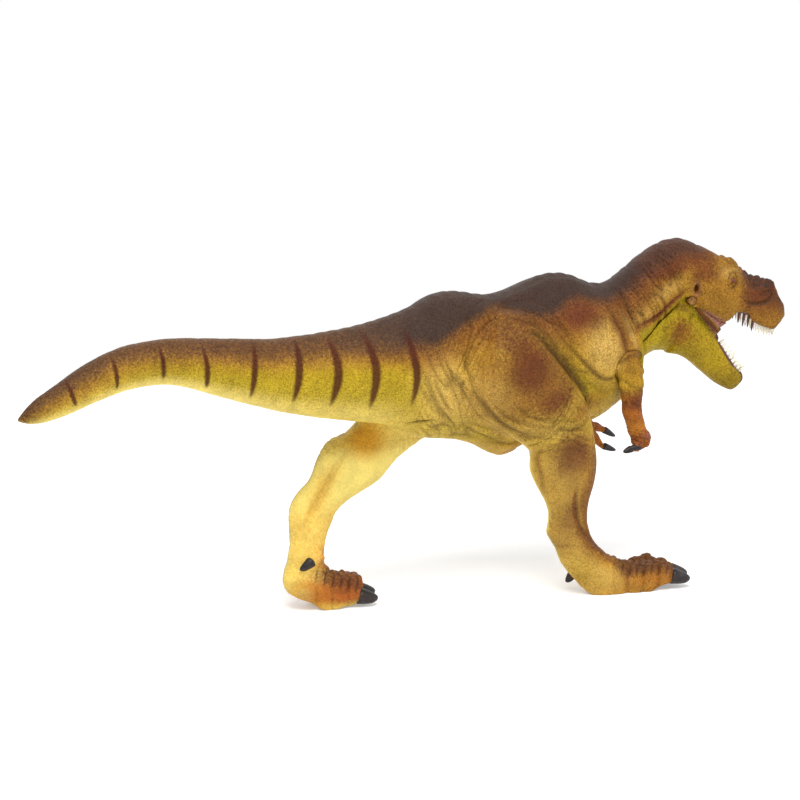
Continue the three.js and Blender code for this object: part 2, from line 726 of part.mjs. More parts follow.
// Neck: a muscular upper part, and a narrower throat below it that belongs to the lower jaw.
// The neck bends to the right between two places, so that the head looks aside.
const NECK_STEPS = 2;
const NECK_SIDES = 20;
const NECK_BEND_START_SHARE = 0.888;
const NECK_BEND_SPAN_SHARE = 0.44;
const NECK_BEND_START = NECK_BEND_START_SHARE * TORSO_LENGTH;
const NECK_BEND_SPAN = NECK_BEND_SPAN_SHARE * NECK_LENGTH;
const NECK_DOME = 3;
const NECK_PROFILE_SHARES = [
  [-0.18, 0.957, 0.235, 0.717, 0.49],
  [0, 0.95, 0.382, 0.746, 0.507],
  [0.182, 0.971, 0.5, 0.767, 0.486],
  [0.368, 1.013, 0.618, 0.805, 0.464],
  [0.545, 1.052, 0.765, 0.842, 0.443],
  [0.733, 1.076, 0.882, 0.871, 0.421],
  [0.912, 1.08, 0.988, 0.883, 0.4],
  [1.074, 1.064, 1.088, 0.883, 0.36],
];
const THROAT_PROFILE_SHARES = [
  [0.118, 0.858, 0.34, 0.69, 0.371],
  [0.235, 0.875, 0.465, 0.712, 0.371],
  [0.441, 0.9, 0.615, 0.733, 0.35],
  [0.706, 0.917, 0.79, 0.732, 0.31],
  [0.985, 0.933, 0.963, 0.713, 0.288],
];

function neckLoft(shares, endDome, grow) {
  const rows = shares.map(([backX, backZ, throatX, throatZ, half]) => ({
    front: [NECK_SEAM_TOP[0] + backX * NECK_LENGTH, backZ * BACK_HEIGHT],
    back: [NECK_SEAM_TOP[0] + throatX * NECK_LENGTH, throatZ * BACK_HEIGHT],
    right: -half * NECK_WIDTH,
    left: half * NECK_WIDTH,
  }));
  return profileLoft(rows, { sides: NECK_SIDES, steps: NECK_STEPS, endDome, grow });
}

// Where a point of the straight neck goes when the neck bends in an arc to the right.
function bentPoint(point) {
  const turn = THREE.MathUtils.degToRad(HEAD_TURN);
  const radius = NECK_BEND_SPAN / turn;
  const share = THREE.MathUtils.clamp((point.x - NECK_BEND_START) / NECK_BEND_SPAN, 0, 1);
  const angle = share * turn;
  const beyond = Math.max(0, point.x - NECK_BEND_START - NECK_BEND_SPAN);
  const before = Math.min(0, point.x - NECK_BEND_START);
  const x = NECK_BEND_START + before + radius * Math.sin(angle) + beyond * Math.cos(angle);
  const y = -radius * (1 - Math.cos(angle)) - beyond * Math.sin(angle);
  return new THREE.Vector3(x + point.y * Math.sin(angle), y + point.y * Math.cos(angle), point.z);
}

function bent(geometry) {
  const position = geometry.attributes.position;
  for (let i = 0; i < position.count; i += 1) {
    const point = bentPoint(new THREE.Vector3().fromBufferAttribute(position, i));
    position.setXYZ(i, ...point.toArray());
  }
  return geometry;
}

// The head's own frame has the jaw hinge as its origin and looks along its own X.
const HINGE_SHARES = [0.982, 0.898];
const HINGE_X = NECK_SEAM_TOP[0] + HINGE_SHARES[0] * NECK_LENGTH;
const HINGE_Z = HINGE_SHARES[1] * BACK_HEIGHT;

function headFrame() {
  const place = bentPoint(new THREE.Vector3(HINGE_X, 0, HINGE_Z));
  const turn = new THREE.Quaternion().setFromAxisAngle(Z_AXIS, -THREE.MathUtils.degToRad(HEAD_TURN));
  return new THREE.Matrix4().compose(place, turn, new THREE.Vector3(1, 1, 1));
}

function jawTurn() {
  return new THREE.Matrix4().makeRotationY(THREE.MathUtils.degToRad(JAW_OPEN));
}

function jawFrame() {
  return headFrame().multiply(jawTurn());
}

// A solid of the trunk's frame, given in the head's or the jaw's frame.
function seenFrom(frame, solid) {
  return solidOf(geometryOf(solid).applyMatrix4(frame.invert()));
}

// Skull: each row has how far it is ahead of the hinge, the top, the lip line and the half width.
const HEAD_SIDES = 24;
const HEAD_STEPS = 2;
const SNOUT_DOME = 1.4;
const SKULL_BACK_DOME = 2;
const SKULL_SHARES = [
  [-0.025, 0.58, -0.067, 0.44],
  [0.088, 0.625, -0.107, 0.48],
  [0.205, 0.585, -0.21, 0.5],
  [0.328, 0.48, -0.32, 0.482],
  [0.443, 0.4, -0.193, 0.438],
  [0.55, 0.313, -0.233, 0.365],
  [0.658, 0.237, -0.34, 0.326],
  [0.75, 0.173, -0.4, 0.31],
  [0.835, 0.097, -0.43, 0.29],
  [0.895, 0, -0.37, 0.25],
  [0.942, -0.1, -0.3, 0.19],
];
const LIP_DROP = 5;
const LIP_STEPS = 2;
const SNOUT_LIP_RISE = 1.5;
const LIP_WALL = 1.1;
const PALATE_RISE = 4.6;
const MOUTH_FIRST_ROW = 3;
const MOUTH_SQUARE = 6;
const SKULL_SQUARE = 2.7;

// Swells and hollows of the skull, as shares of its length, width and depth: cheeks, brow horns,
// brow ridges, eye sockets, ears, the grooves along the snout, nostrils and the bumps on the nose.
const SKULL_SIDE_SWELL_SHARES = [
  [0.15, 0.48, 0.07, 0.18, 0.24, 0.2, 0.045],
  [0.39, 0.4, 0.34, 0.1, 0.12, 0.05, 0.04],
  [0.395, 0.42, 0.23, 0.065, 0.12, 0.08, -0.085],
  [0.03, 0.47, 0.153, 0.024, 0.12, 0.065, -0.07],
  [0.64, 0.31, 0.055, 0.09, 0.12, 0.035, -0.035],
  [0.74, 0.3, 0.005, 0.09, 0.12, 0.035, -0.035],
  [0.85, 0.25, -0.02, 0.03, 0.1, 0.035, -0.045],
];
const NOSE_BUMP_SHARES = [
  [0.72, 0, 0.21, 0.035, 0.14, 0.07, 0.04],
  [0.815, 0, 0.12, 0.035, 0.14, 0.07, 0.04],
  [0.9, 0, 0.02, 0.035, 0.14, 0.07, 0.035],
];
const HORN_SHARES = [0.392, 0.25, 0.395];
const HORN_REACH_SHARES = [0.08, 0.1, 0.095];
const EYE_RADIUS = 1.7;
const EYE_SHARES = [0.395, 0.35, 0.23];
const EYE_SIDES = 12;
const EYE_RINGS = 6;

function skullSwell([x, y, z, reachX, reachY, reachZ, rise]) {
  const sizes = new THREE.Vector3(HEAD_LENGTH, HEAD_WIDTH, HEAD_DEPTH);
  return sharedSwell([x, y, z], [reachX, reachY, reachZ], rise, sizes);
}

function skullLoft(grow) {
  const rows = SKULL_SHARES.map(([x, top, lip, half]) => ({
    front: [x * HEAD_LENGTH, top * HEAD_DEPTH],
    back: [x * HEAD_LENGTH, lip * HEAD_DEPTH - LIP_DROP],
    right: -half * HEAD_WIDTH,
    left: half * HEAD_WIDTH,
    square: SKULL_SQUARE,
  }));
  const sideSwells = onBothSides(SKULL_SIDE_SWELL_SHARES.map(skullSwell));
  const swells = [...sideSwells, ...NOSE_BUMP_SHARES.map(skullSwell)];
  return profileLoft(rows, {
    sides: HEAD_SIDES, steps: HEAD_STEPS, grow, startDome: SKULL_BACK_DOME, endDome: SNOUT_DOME, swells,
  });
}

// Everything under the wavy line of the upper lip, from a given depth below it.
function belowLip(drop) {
  const lip = SKULL_SHARES.map(([x, , z]) => new THREE.Vector3(x * HEAD_LENGTH, 0, z * HEAD_DEPTH - drop));
  const smooth = profileCurve(lip).getPoints(LIP_STEPS * SKULL_SHARES.length);
  const line = smooth.map((point) => [point.x, point.z]);
  const front = [HEAD_LENGTH + OVERRUN, line.at(-1)[1] + SNOUT_LIP_RISE];
  const rear = [-OVERRUN, line[0][1]];
  const outline = [rear, ...line, front, [front[0], -HEAD_DEPTH], [rear[0], -HEAD_DEPTH]];
  return solidOf(profilePlate(outline, HEAD_WIDTH));
}

function mouthSpace() {
  const rows = SKULL_SHARES.slice(MOUTH_FIRST_ROW, -1).map(([x, , lip, half]) => ({
    front: [x * HEAD_LENGTH, lip * HEAD_DEPTH + PALATE_RISE],
    back: [x * HEAD_LENGTH, lip * HEAD_DEPTH - LIP_DROP - OVERRUN],
    right: LIP_WALL - half * HEAD_WIDTH,
    left: half * HEAD_WIDTH - LIP_WALL,
    square: MOUTH_SQUARE,
  }));
  return solidOf(profileLoft(rows, { sides: HEAD_SIDES, steps: HEAD_STEPS }));
}

// The low horn over each brow.
function browHorn(side) {
  const horn = new THREE.SphereGeometry(1, EYE_SIDES, EYE_RINGS);
  const sizes = [HEAD_LENGTH, HEAD_WIDTH, HEAD_DEPTH];
  horn.scale(...HORN_REACH_SHARES.map((share, i) => share * sizes[i]));
  const [x, y, z] = HORN_SHARES.map((share, i) => share * sizes[i]);
  horn.translate(x, side * y, z);
  return solidOf(closedGeometry(horn));
}

function eyeball(side) {
  const eye = new THREE.SphereGeometry(EYE_RADIUS, EYE_SIDES, EYE_RINGS);
  const [x, y, z] = EYE_SHARES;
  eye.translate(x * HEAD_LENGTH, side * y * HEAD_WIDTH, z * HEAD_DEPTH);
  return solidOf(closedGeometry(eye));
}

// All that lies behind the neck seam.
function behindNeckSeam() {
  return solidOf(seamBlock(NECK_SEAM_BOTTOM, NECK_SEAM_TOP, 0));
}

// Neck and skull in the head's frame, without the mouth space. The neck runs on behind the seam.
function headBulk(grow) {
  const neck = solidOf(bent(neckLoft(NECK_PROFILE_SHARES, NECK_DOME, grow)));
  const skull = solidOf(skullLoft(grow)).subtract(belowLip(grow));
  return seenFrom(headFrame(), neck).add(skull);
}

// Lower jaw, in its own frame: the hinge is the origin, X runs to the tip and Z is up.
// Each row has a point of the upper edge, a point of the underside and the half width.
const JAW_SIDES = 16;
const JAW_STEPS = 2;
const JAW_TIP_DOME = 1.6;
const JAW_SHARES = [
  [0.125, 0.03, 0.3, -0.93, 0.49],
  [0.2, 0.05, 0.365, -0.79, 0.485],
  [0.3, 0.08, 0.44, -0.71, 0.463],
  [0.5, 0.06, 0.54, -0.65, 0.415],
  [0.64, 0.02, 0.65, -0.6, 0.378],
  [0.78, 0, 0.78, -0.53, 0.33],
  [0.91, 0.015, 0.91, -0.455, 0.274],
  [0.965, 0, 0.98, -0.38, 0.215],
];
const JAW_SQUARE = 2.6;
// The front part of the jaw, which moves up between the cheeks, ends behind at this angle.
const JAW_FRONT_ANGLE = -39.2;
// Between the cheeks a thinner sector goes on up into the neck, so that no gap opens at the crease.
const JAW_CORE_RADIUS = 17.5;
const JAW_CORE_HALF = 6;
const JAW_CORE_FROM = -116;
const JAW_CORE_TO = 10;
const JAW_KNUCKLE_RADIUS = 5;
const JAW_KNUCKLE_HALF = 7;
const ARC_STEPS = 12;
const JAW_POCKET_SHARE = 0.62;
const PIN_RADIUS = 1.5;
const PIN_HALF_SHARE = 0.43;
const PIN_HALF = PIN_HALF_SHARE * HEAD_WIDTH;
const PIN_SIDES = 16;

function polar(radius, degrees) {
  const angle = THREE.MathUtils.degToRad(degrees);
  return [radius * Math.cos(angle), radius * Math.sin(angle)];
}

function jawLoft() {
  const rows = JAW_SHARES.map(([topX, topZ, underX, underZ, half]) => ({
    front: [topX * JAW_LENGTH, topZ * JAW_DEPTH],
    back: [underX * JAW_LENGTH, underZ * JAW_DEPTH],
    right: -half * JAW_WIDTH,
    left: half * JAW_WIDTH,
    square: JAW_SQUARE,
  }));
  return profileLoft(rows, { sides: JAW_SIDES, steps: JAW_STEPS, endDome: JAW_TIP_DOME });
}

// A sector about the hinge between two angles, across the middle plane.
function hingeSector(radius, fromAngle, toAngle, half) {
  const arc = [];
  for (let i = 0; i <= ARC_STEPS; i += 1) {
    arc.push(polar(radius, fromAngle + (toAngle - fromAngle) * i / ARC_STEPS));
  }
  return solidOf(profilePlate([[0, 0], ...arc], half));
}

function hingeKnuckle(grow) {
  const half = JAW_KNUCKLE_HALF + grow;
  return solidOf(crossBar(0, 0, JAW_KNUCKLE_RADIUS + grow, -half, half, PIN_SIDES));
}

// The jaw in its own frame. Its front part lies between the cheeks. Its rear part is the throat,
// which fits under the neck along the crease.
function jawBody() {
  const behind = solidOf(seamBlock([0, 0], polar(JAW_LENGTH, JAW_FRONT_ANGLE + 180), 0));
  const loft = solidOf(jawLoft());
  const throatLoft = solidOf(bent(neckLoft(THROAT_PROFILE_SHARES, 0, 0)));
  const throat = seenFrom(jawFrame(), throatLoft.subtract(behindNeckSeam()));
  const headShell = seenFrom(jawTurn(), headBulk(CLEARANCE));
  const flesh = loft.add(throat).subtract(headShell.intersect(behind));
  const core = hingeSector(JAW_CORE_RADIUS, JAW_CORE_FROM, JAW_CORE_TO, JAW_CORE_HALF);
  return joined([flesh, core, hingeKnuckle(0)]);
}

// The space that the jaw passes through as it closes, in the head's frame: a wide pocket between
// the cheeks, a thinner one for the sector behind it, and the room for the knuckle.
function jawPocket() {
  const spare = THREE.MathUtils.radToDeg(CLEARANCE / JAW_KNUCKLE_RADIUS);
  const top = JAW_CLOSING - JAW_OPEN + JAW_CORE_TO + spare;
  const widest = Math.max(...JAW_SHARES.map((row) => row.at(-1))) * JAW_WIDTH;
  const wideFrom = JAW_FRONT_ANGLE - JAW_OPEN - spare;
  const thinFrom = JAW_CORE_FROM - JAW_OPEN - spare;
  const wide = hingeSector(JAW_POCKET_SHARE * JAW_LENGTH, wideFrom, top, widest + CLEARANCE);
  const thin = hingeSector(JAW_CORE_RADIUS + CLEARANCE, thinFrom, top, JAW_CORE_HALF + CLEARANCE);
  return joined([wide, thin, hingeKnuckle(CLEARANCE)]);
}

function pinBar() {
  return solidOf(crossBar(0, 0, PIN_RADIUS, -PIN_HALF, PIN_HALF, PIN_SIDES));
}

function pinBore() {
  return solidOf(crossBar(0, 0, PIN_RADIUS + CLEARANCE, -HEAD_WIDTH, HEAD_WIDTH, PIN_SIDES));
}

// Gums and teeth: a horseshoe strip with a row of pointed teeth along it.
const GUM_WIDTH = 1.4;
const GUM_HEIGHT = 2;
const GUM_GAP = 0.6;
const GUM_RISE = 0.5;
const GUM_STEPS = 18;
const TIP_TOOTH_SHARE = 0.33;
const TOOTH_RADIUS = 0.62;
const TOOTH_SIDES = 4;
const UPPER_TEETH = 25;
const UPPER_TOOTH_LENGTH = 3.4;
const UPPER_GUM_DROP = 1.4;
const LOWER_TEETH = 21;
const LOWER_TOOTH_LENGTH = 2.3;
const TOOTH_ROOT = 0.6;
const TOOTH_LEAN = 0.25;
const TOOTH_TIP_SHARE = 0.15;
const SHORT_TOOTH_SHARE = 0.78;

function horseshoe(rightSide) {
  const leftSide = rightSide.map((point) => new THREE.Vector3(point.x, -point.y, point.z)).reverse();
  return profileCurve([...rightSide, ...leftSide]);
}

function gumStrip(path, bottom, top) {
  const rings = [];
  for (let i = 0; i <= GUM_STEPS; i += 1) {
    const middle = path.getPoint(i / GUM_STEPS);
    const tangent = path.getTangent(i / GUM_STEPS).setZ(0).normalize();
    const across = new THREE.Vector3(-tangent.y, tangent.x, 0).multiplyScalar(GUM_WIDTH / 2);
    rings.push([[-1, bottom], [1, bottom], [1, top], [-1, top]].map(([side, height]) => (
      middle.clone().addScaledVector(across, side).setZ(middle.z + height)
    )));
  }
  return solidOf(skin(rings));
}

// Teeth stand along the path, a long and a short one in turn, and each leans back a little.
function teethRow(path, count, length, base, direction) {
  const teeth = [];
  for (let i = 0; i < count; i += 1) {
    const share = (i + HALF) / count;
    const root = path.getPoint(share);
    const size = length * (i % 2 === 0 ? 1 : SHORT_TOOTH_SHARE);
    const start = [root.x, root.y, root.z + base - direction * TOOTH_ROOT];
    const end = [root.x - TOOTH_LEAN * size, root.y, root.z + base + direction * size];
    const radii = [TOOTH_RADIUS, TOOTH_RADIUS * TOOTH_TIP_SHARE];
    teeth.push(solidOf(taper([start, end], radii, TOOTH_SIDES, 1)));
  }
  return joined(teeth);
}

function upperTeeth() {
  const rows = SKULL_SHARES.slice(MOUTH_FIRST_ROW + 1, -2);
  const inset = LIP_WALL + GUM_GAP + GUM_WIDTH / 2;
  const points = rows.map(([x, , lip, half]) => (
    new THREE.Vector3(x * HEAD_LENGTH, inset - half * HEAD_WIDTH, lip * HEAD_DEPTH + GUM_RISE)
  ));
  const [lastX, , lastLip, lastHalf] = SKULL_SHARES.at(-2);
  points.push(new THREE.Vector3(
    lastX * HEAD_LENGTH - inset, -lastHalf * HEAD_WIDTH * TIP_TOOTH_SHARE, lastLip * HEAD_DEPTH + GUM_RISE,
  ));
  const path = horseshoe(points);
  const teeth = teethRow(path, UPPER_TEETH, UPPER_TOOTH_LENGTH, -UPPER_GUM_DROP, -1);
  return gumStrip(path, -UPPER_GUM_DROP, GUM_HEIGHT).add(teeth);
}

// The lower insert lies in a trough of the jaw: a floor, the gum strip, its teeth and the tongue.
const JAW_WALL = 1.1;
const TROUGH_DEPTH = 2.6;
const FLOOR_THICKNESS = 1;
const TROUGH_FIRST_ROW = 3;
const TONGUE_SHARES = [
  [0.54, 0.9, 0.3],
  [0.62, 1, 0.3],
  [0.72, 0.9, 0.25],
  [0.8, 0.6, 0.17],
];
const TONGUE_THICKNESS = 3;
const TONGUE_SINK = 0.8;

function troughRows(bottom, top, inset) {
  return JAW_SHARES.slice(TROUGH_FIRST_ROW, -1).map(([x, z, , , half]) => ({
    front: [x * JAW_LENGTH, z * JAW_DEPTH + top],
    back: [x * JAW_LENGTH, z * JAW_DEPTH + bottom],
    right: inset - half * JAW_WIDTH,
    left: half * JAW_WIDTH - inset,
    square: MOUTH_SQUARE,
  }));
}

function jawTrough() {
  const rows = troughRows(-TROUGH_DEPTH, OVERRUN, JAW_WALL);
  return solidOf(profileLoft(rows, { sides: JAW_SIDES, steps: JAW_STEPS }));
}

function lowerTeeth() {
  const floorBottom = CLEARANCE - TROUGH_DEPTH;
  const floorTop = floorBottom + FLOOR_THICKNESS;
  const inset = JAW_WALL + GUM_GAP;
  const rows = troughRows(floorBottom, floorTop, inset);
  rows[0].front[0] += GUM_GAP;
  rows[0].back[0] += GUM_GAP;
  rows.at(-1).front[0] -= GUM_GAP;
  rows.at(-1).back[0] -= GUM_GAP;
  const floor = solidOf(profileLoft(rows, { sides: JAW_SIDES, steps: JAW_STEPS }));
  const points = JAW_SHARES.slice(TROUGH_FIRST_ROW, -2).map(([x, z, , , half]) => (
    new THREE.Vector3(x * JAW_LENGTH, inset + GUM_WIDTH / 2 - half * JAW_WIDTH, z * JAW_DEPTH)
  ));
  points[0].x += GUM_GAP;
  const [lastX, lastZ, , , lastHalf] = JAW_SHARES.at(-2);
  const tipX = lastX * JAW_LENGTH - inset - GUM_WIDTH;
  points.push(new THREE.Vector3(tipX, -lastHalf * JAW_WIDTH * TIP_TOOTH_SHARE, lastZ * JAW_DEPTH));
  const path = horseshoe(points);
  const gum = gumStrip(path, floorBottom + FLOOR_THICKNESS / 2, -CLEARANCE);
  const teeth = teethRow(path, LOWER_TEETH, LOWER_TOOTH_LENGTH, -CLEARANCE, 1);
  const tongueRows = TONGUE_SHARES.map(([x, top, half]) => ({
    front: [x * JAW_LENGTH, floorTop + top * (TONGUE_THICKNESS - FLOOR_THICKNESS)],
    back: [x * JAW_LENGTH, floorBottom + TONGUE_SINK],
    right: -half * JAW_WIDTH / 2,
    left: half * JAW_WIDTH / 2,
  }));
  const tongue = solidOf(profileLoft(tongueRows, { sides: ARM_SIDES, steps: 2, endDome: FLOOR_THICKNESS }));
  return joined([floor, gum, teeth, tongue]);
}

// Each piece as a finished solid

function tailPiece(trunk) {
  const aheadOfSeam = solidOf(seamBlock(TAIL_SEAM_TOP, TAIL_SEAM_BOTTOM, 0));
  return trunk.subtract(aheadOfSeam).subtract(legSocket(LEFT_LEG_SHARES, 1)).add(solidOf(tailPlug(0)));
}

function torsoPiece(trunk) {
  return cut(trunk, [
    solidOf(seamBlock(TAIL_SEAM_BOTTOM, TAIL_SEAM_TOP, -CLEARANCE)),
    solidOf(seamBlock(NECK_SEAM_TOP, NECK_SEAM_BOTTOM, -CLEARANCE)),
    solidOf(tailPlug(CLEARANCE)),
    solidOf(neckPlug(CLEARANCE)),
    legSocket(RIGHT_LEG_SHARES, -1),
    legSocket(LEFT_LEG_SHARES, 1),
    shoulderRecess(-1),
    shoulderRecess(1),
  ]);
}

function headPiece() {
  const plug = seenFrom(headFrame(), solidOf(neckPlug(0)));
  const horns = [browHorn(-1), browHorn(1)];
  const behind = seenFrom(headFrame(), behindNeckSeam());
  const bulk = joined([cut(headBulk(0), [mouthSpace(), behind]), ...horns, plug]);
  return joined([cut(bulk, [jawPocket(), pinBore()]), eyeball(-1), eyeball(1)]);
}

function jawPiece() {
  return cut(jawBody(), [jawTrough(), pinBore()]);
}

// Paints of the figure, one for each group of pieces
const SKIN = { color: 0xb58a35, roughness: 0.62, metalness: 0 };
const DARK_SKIN = { color: 0x9a6a33, roughness: 0.62, metalness: 0 };
const PALE_SKIN = { color: 0xb9a52e, roughness: 0.62, metalness: 0 };
const YELLOW_SKIN = { color: 0xd9b53c, roughness: 0.62, metalness: 0 };
const ORANGE_SKIN = { color: 0xb5702e, roughness: 0.62, metalness: 0 };
const IVORY = { color: 0xefe6cf, roughness: 0.4, metalness: 0 };
const PIN = { color: 0x4a2a24, roughness: 0.5, metalness: 0 };

function piece(name, solid, paint) {
  const mesh = new THREE.Mesh(geometryOf(solid), new THREE.MeshStandardMaterial(paint));
  mesh.name = name;
  return mesh;
}

function figure() {
  const trunk = solidOf(bent(trunkGeometry()));
  const jaw = new THREE.Group();
  jaw.rotation.y = THREE.MathUtils.degToRad(JAW_OPEN);
  jaw.add(piece('lower_jaw', jawPiece(), PALE_SKIN), piece('lower_teeth', lowerTeeth(), IVORY));
  const head = new THREE.Group();
  headFrame().decompose(head.position, head.quaternion, head.scale);
  head.add(
    piece('head', headPiece(), DARK_SKIN),
    piece('upper_teeth', upperTeeth(), IVORY),
    piece('jaw_pin', pinBar(), PIN),
    jaw,
  );
  const whole = new THREE.Group();
  whole.add(
    piece('torso', torsoPiece(trunk), SKIN),
    piece('tail', tailPiece(trunk), SKIN),
    piece('right_leg', leg(RIGHT_LEG_SHARES, RIGHT_FOOT, -1), SKIN),
    piece('left_leg', leg(LEFT_LEG_SHARES, LEFT_FOOT, 1), YELLOW_SKIN),
    piece('right_arm', arm(-1, RIGHT_ARM_SHARES, RIGHT_FINGER_SHARES, RIGHT_CLAW_SHARES), ORANGE_SKIN),
    piece('left_arm', arm(1, LEFT_ARM_SHARES, LEFT_FINGER_SHARES, LEFT_CLAW_SHARES), ORANGE_SKIN),
    head,
  );
  return whole;
}

// The part's origin is under the middle of its bounding box, on the ground.
function standing(whole) {
  whole.updateMatrixWorld(true);
  const box = new THREE.Box3().setFromObject(whole, true);
  const middle = box.getCenter(new THREE.Vector3());
  whole.position.set(-middle.x, -middle.y, -box.min.z);
  const part = new THREE.Group();
  part.add(whole);
  return part;
}

export default standing(figure());
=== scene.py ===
"""The finished looks of the toy dinosaur figure: sculpted skin, sprayed paint, teeth, claws and studio."""

import json
import logging
import math
from collections.abc import Callable
from dataclasses import asdict, dataclass
from enum import Enum

import bmesh
import bpy
import numpy as np
from mathutils import Matrix, Vector
from mathutils.bvhtree import BVHTree


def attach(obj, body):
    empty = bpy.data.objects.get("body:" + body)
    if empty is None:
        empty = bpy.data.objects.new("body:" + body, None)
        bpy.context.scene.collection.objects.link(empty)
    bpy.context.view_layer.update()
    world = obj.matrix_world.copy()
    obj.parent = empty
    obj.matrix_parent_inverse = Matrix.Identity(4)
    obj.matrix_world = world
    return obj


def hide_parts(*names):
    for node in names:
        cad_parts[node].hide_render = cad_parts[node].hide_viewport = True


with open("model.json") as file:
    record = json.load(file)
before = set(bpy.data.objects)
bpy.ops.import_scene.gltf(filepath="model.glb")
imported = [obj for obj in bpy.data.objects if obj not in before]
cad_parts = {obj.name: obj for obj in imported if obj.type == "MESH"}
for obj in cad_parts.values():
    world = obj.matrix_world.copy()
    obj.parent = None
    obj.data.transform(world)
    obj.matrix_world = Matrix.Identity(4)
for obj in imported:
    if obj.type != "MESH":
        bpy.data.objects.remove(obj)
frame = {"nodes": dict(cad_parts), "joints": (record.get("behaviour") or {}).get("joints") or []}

log = logging.getLogger("figure")

Array = np.ndarray
Point2 = tuple[float, float]
Point3 = tuple[float, float, float]
Mesh = bpy.types.Mesh
Material = bpy.types.Material
Node = bpy.types.Node
Socket = bpy.types.NodeSocket

MM = 0.001
JAW_OPENING = 52.8
WHITE = (1.0, 1.0, 1.0, 1.0)
FLOOR_GREY = (0.9, 0.9, 0.9, 1.0)


class Paint(Enum):
    """The paints of the figure, as the colours a maker would write on the pots; a few are also laid as
    painted shade and painted highlights.
    """

    CHARCOAL = "#3c302c"
    UMBER = "#553322"
    MAROON = "#4e2012"
    RUST = "#703a1f"
    BROWN = "#7f4f22"
    TAN = "#a87328"
    OCHRE = "#c79b34"
    STRAW = "#e2c450"
    SAND = "#e6bd66"
    LEMON = "#ffe880"
    AMBER = "#e09a14"
    ORANGE = "#bb6a26"
    BRICK = "#a35226"
    MOSS = "#b8a414"
    OLIVE = "#6a5810"
    PURPLE_BROWN = "#62301f"
    PINK = "#a87078"
    MAUVE = "#945f62"
    GUM = "#5c1f1a"
    IVORY = "#f6f2e6"
    BONE = "#e2d6b4"
    TONGUE = "#8c4a48"
    BLACK = "#17181a"
    EYE_RED = "#7a2c14"
    WASH = "#432611"

    def linear(self) -> tuple[float, float, float, float]:
        """The paint as a linear colour with alpha, as shader sockets take it."""
        channels = [int(self.value[i : i + 2], 16) / 255 for i in (1, 3, 5)]
        return (*[c / 12.92 if c <= 0.04045 else ((c + 0.055) / 1.055) ** 2.4 for c in channels], 1.0)


class Side(Enum):
    """Which flank of the figure a fold or a blotch is on."""

    RIGHT = -1
    LEFT = 1
    BOTH = 0

    @property
    def label(self) -> str:
        """The side's name as the pieces carry it."""
        return self.name.lower()

    def holds(self, y: Array) -> Array:
        """A soft mask, 1 on this flank and 0 on the other one."""
        return np.ones_like(y) if self is Side.BOTH else smooth(self.value * y, -1.5, 1.5)

    def outer(self, hide: "Hide") -> Array:
        """A soft mask of this flank's outward faces, or of everything where it is both flanks."""
        facing = smooth(self.value * hide.normals[:, 1], -0.35, 0.1)
        return np.ones(len(facing)) if self is Side.BOTH else self.holds(hide.points[:, 1]) * facing

    def inner(self, hide: "Hide") -> Array:
        """A soft mask of this flank's inward faces."""
        return self.holds(hide.points[:, 1]) * smooth(-self.value * hide.normals[:, 1], 0.0, 0.5)


def smooth(value: Array, low: float, high: float) -> Array:
    """A soft step from 0 at low to 1 at high."""
    share = np.clip((value - low) / (high - low), 0, 1)
    return share * share * (3 - 2 * share)


def fall(value: Array, low: float, high: float) -> Array:
    """A soft step the other way, from 1 at low to 0 at high."""
    return smooth(-value, -high, -low)


def band(value: Array, middle: float, full: float, none: float) -> Array:
    """1 within the full distance of the middle, and 0 beyond the other distance."""
    return fall(np.abs(value - middle), full, none)


def between(value: Array, low: float, in_from: float, in_to: float, high: float) -> Array:
    """A soft plateau: 0 up to low, 1 from in_from to in_to, and 0 again beyond high."""
    return smooth(value, low, in_from) * fall(value, in_to, high)


def bell(value: Array, width: Array | float) -> Array:
    """A soft bump: 1 at zero, and about a third at one width to either side."""
    return np.exp(-((value / width) ** 2))


def value_noise(points: Array, size: float, seed: int) -> Array:
    """Smooth random values on a lattice, between 0 and 1.

    Args:
        points: Places, one row of three for each point.
        size: The lattice step, in the units of the points.
        seed: Picks the pattern.

    Returns:
        One value for each point.
    """
    table = np.random.default_rng(seed).random(4096)
    cell = np.floor(points / size).astype(np.int64)
    part = points / size - cell
    fade = part * part * (3 - 2 * part)
    total = np.zeros(len(points))
    for corner in np.ndindex(2, 2, 2):
        x, y, z = (cell + corner).T
        key = (x * 73856093 ^ y * 19349663 ^ z * 83492791) & 4095
        total += table[key] * np.prod(np.where(corner, fade, 1 - fade), axis=1)
    return total


def wrinkles(across: Array, along: Array, third: Array, gap: float, run: float, seed: int) -> Array:
    """Long narrow folds: 1 in the bottom of a fold and near 0 between the folds.

    Args:
        across: The coordinate square to the folds, in millimetres.
        along: The coordinate along the folds.
        third: The remaining coordinate.
        gap: About how far apart the folds lie.
        run: About how long one fold is.
        seed: Picks the pattern.

    Returns:
        How deep each point lies in a fold.
    """
    warp = value_noise(np.stack([across, along, third], 1), run, seed + 1) * gap * 3
    lattice = np.stack([(across + warp) / gap, along / run, third / run], 1)
    return (1 - np.abs(2 * value_noise(lattice, 1.0, seed) - 1)) ** 4


def smooth_path(points: tuple[Point2, ...], per_gap: int = 6) -> Array:
    """A soft curve through a few points, as a polyline.

    Args:
        points: The points that the curve goes through.
        per_gap: How many steps it takes from one point to the next.

    Returns:
        The polyline's points, one row each.
    """
    knots = np.array(points, float)
    padded = np.vstack([2 * knots[0] - knots[1], knots, 2 * knots[-1] - knots[-2]])
    t = np.linspace(0, 1, per_gap, endpoint=False)[:, None]
    rows = []
    for a, b, c, d in zip(padded, padded[1:], padded[2:], padded[3:]):
        bend = (2 * a - 5 * b + 4 * c - d) * t**2 + (3 * b - a - 3 * c + d) * t**3
        rows.append(0.5 * (2 * b + (c - a) * t + bend))
    return np.vstack([*rows, knots[-1:]])


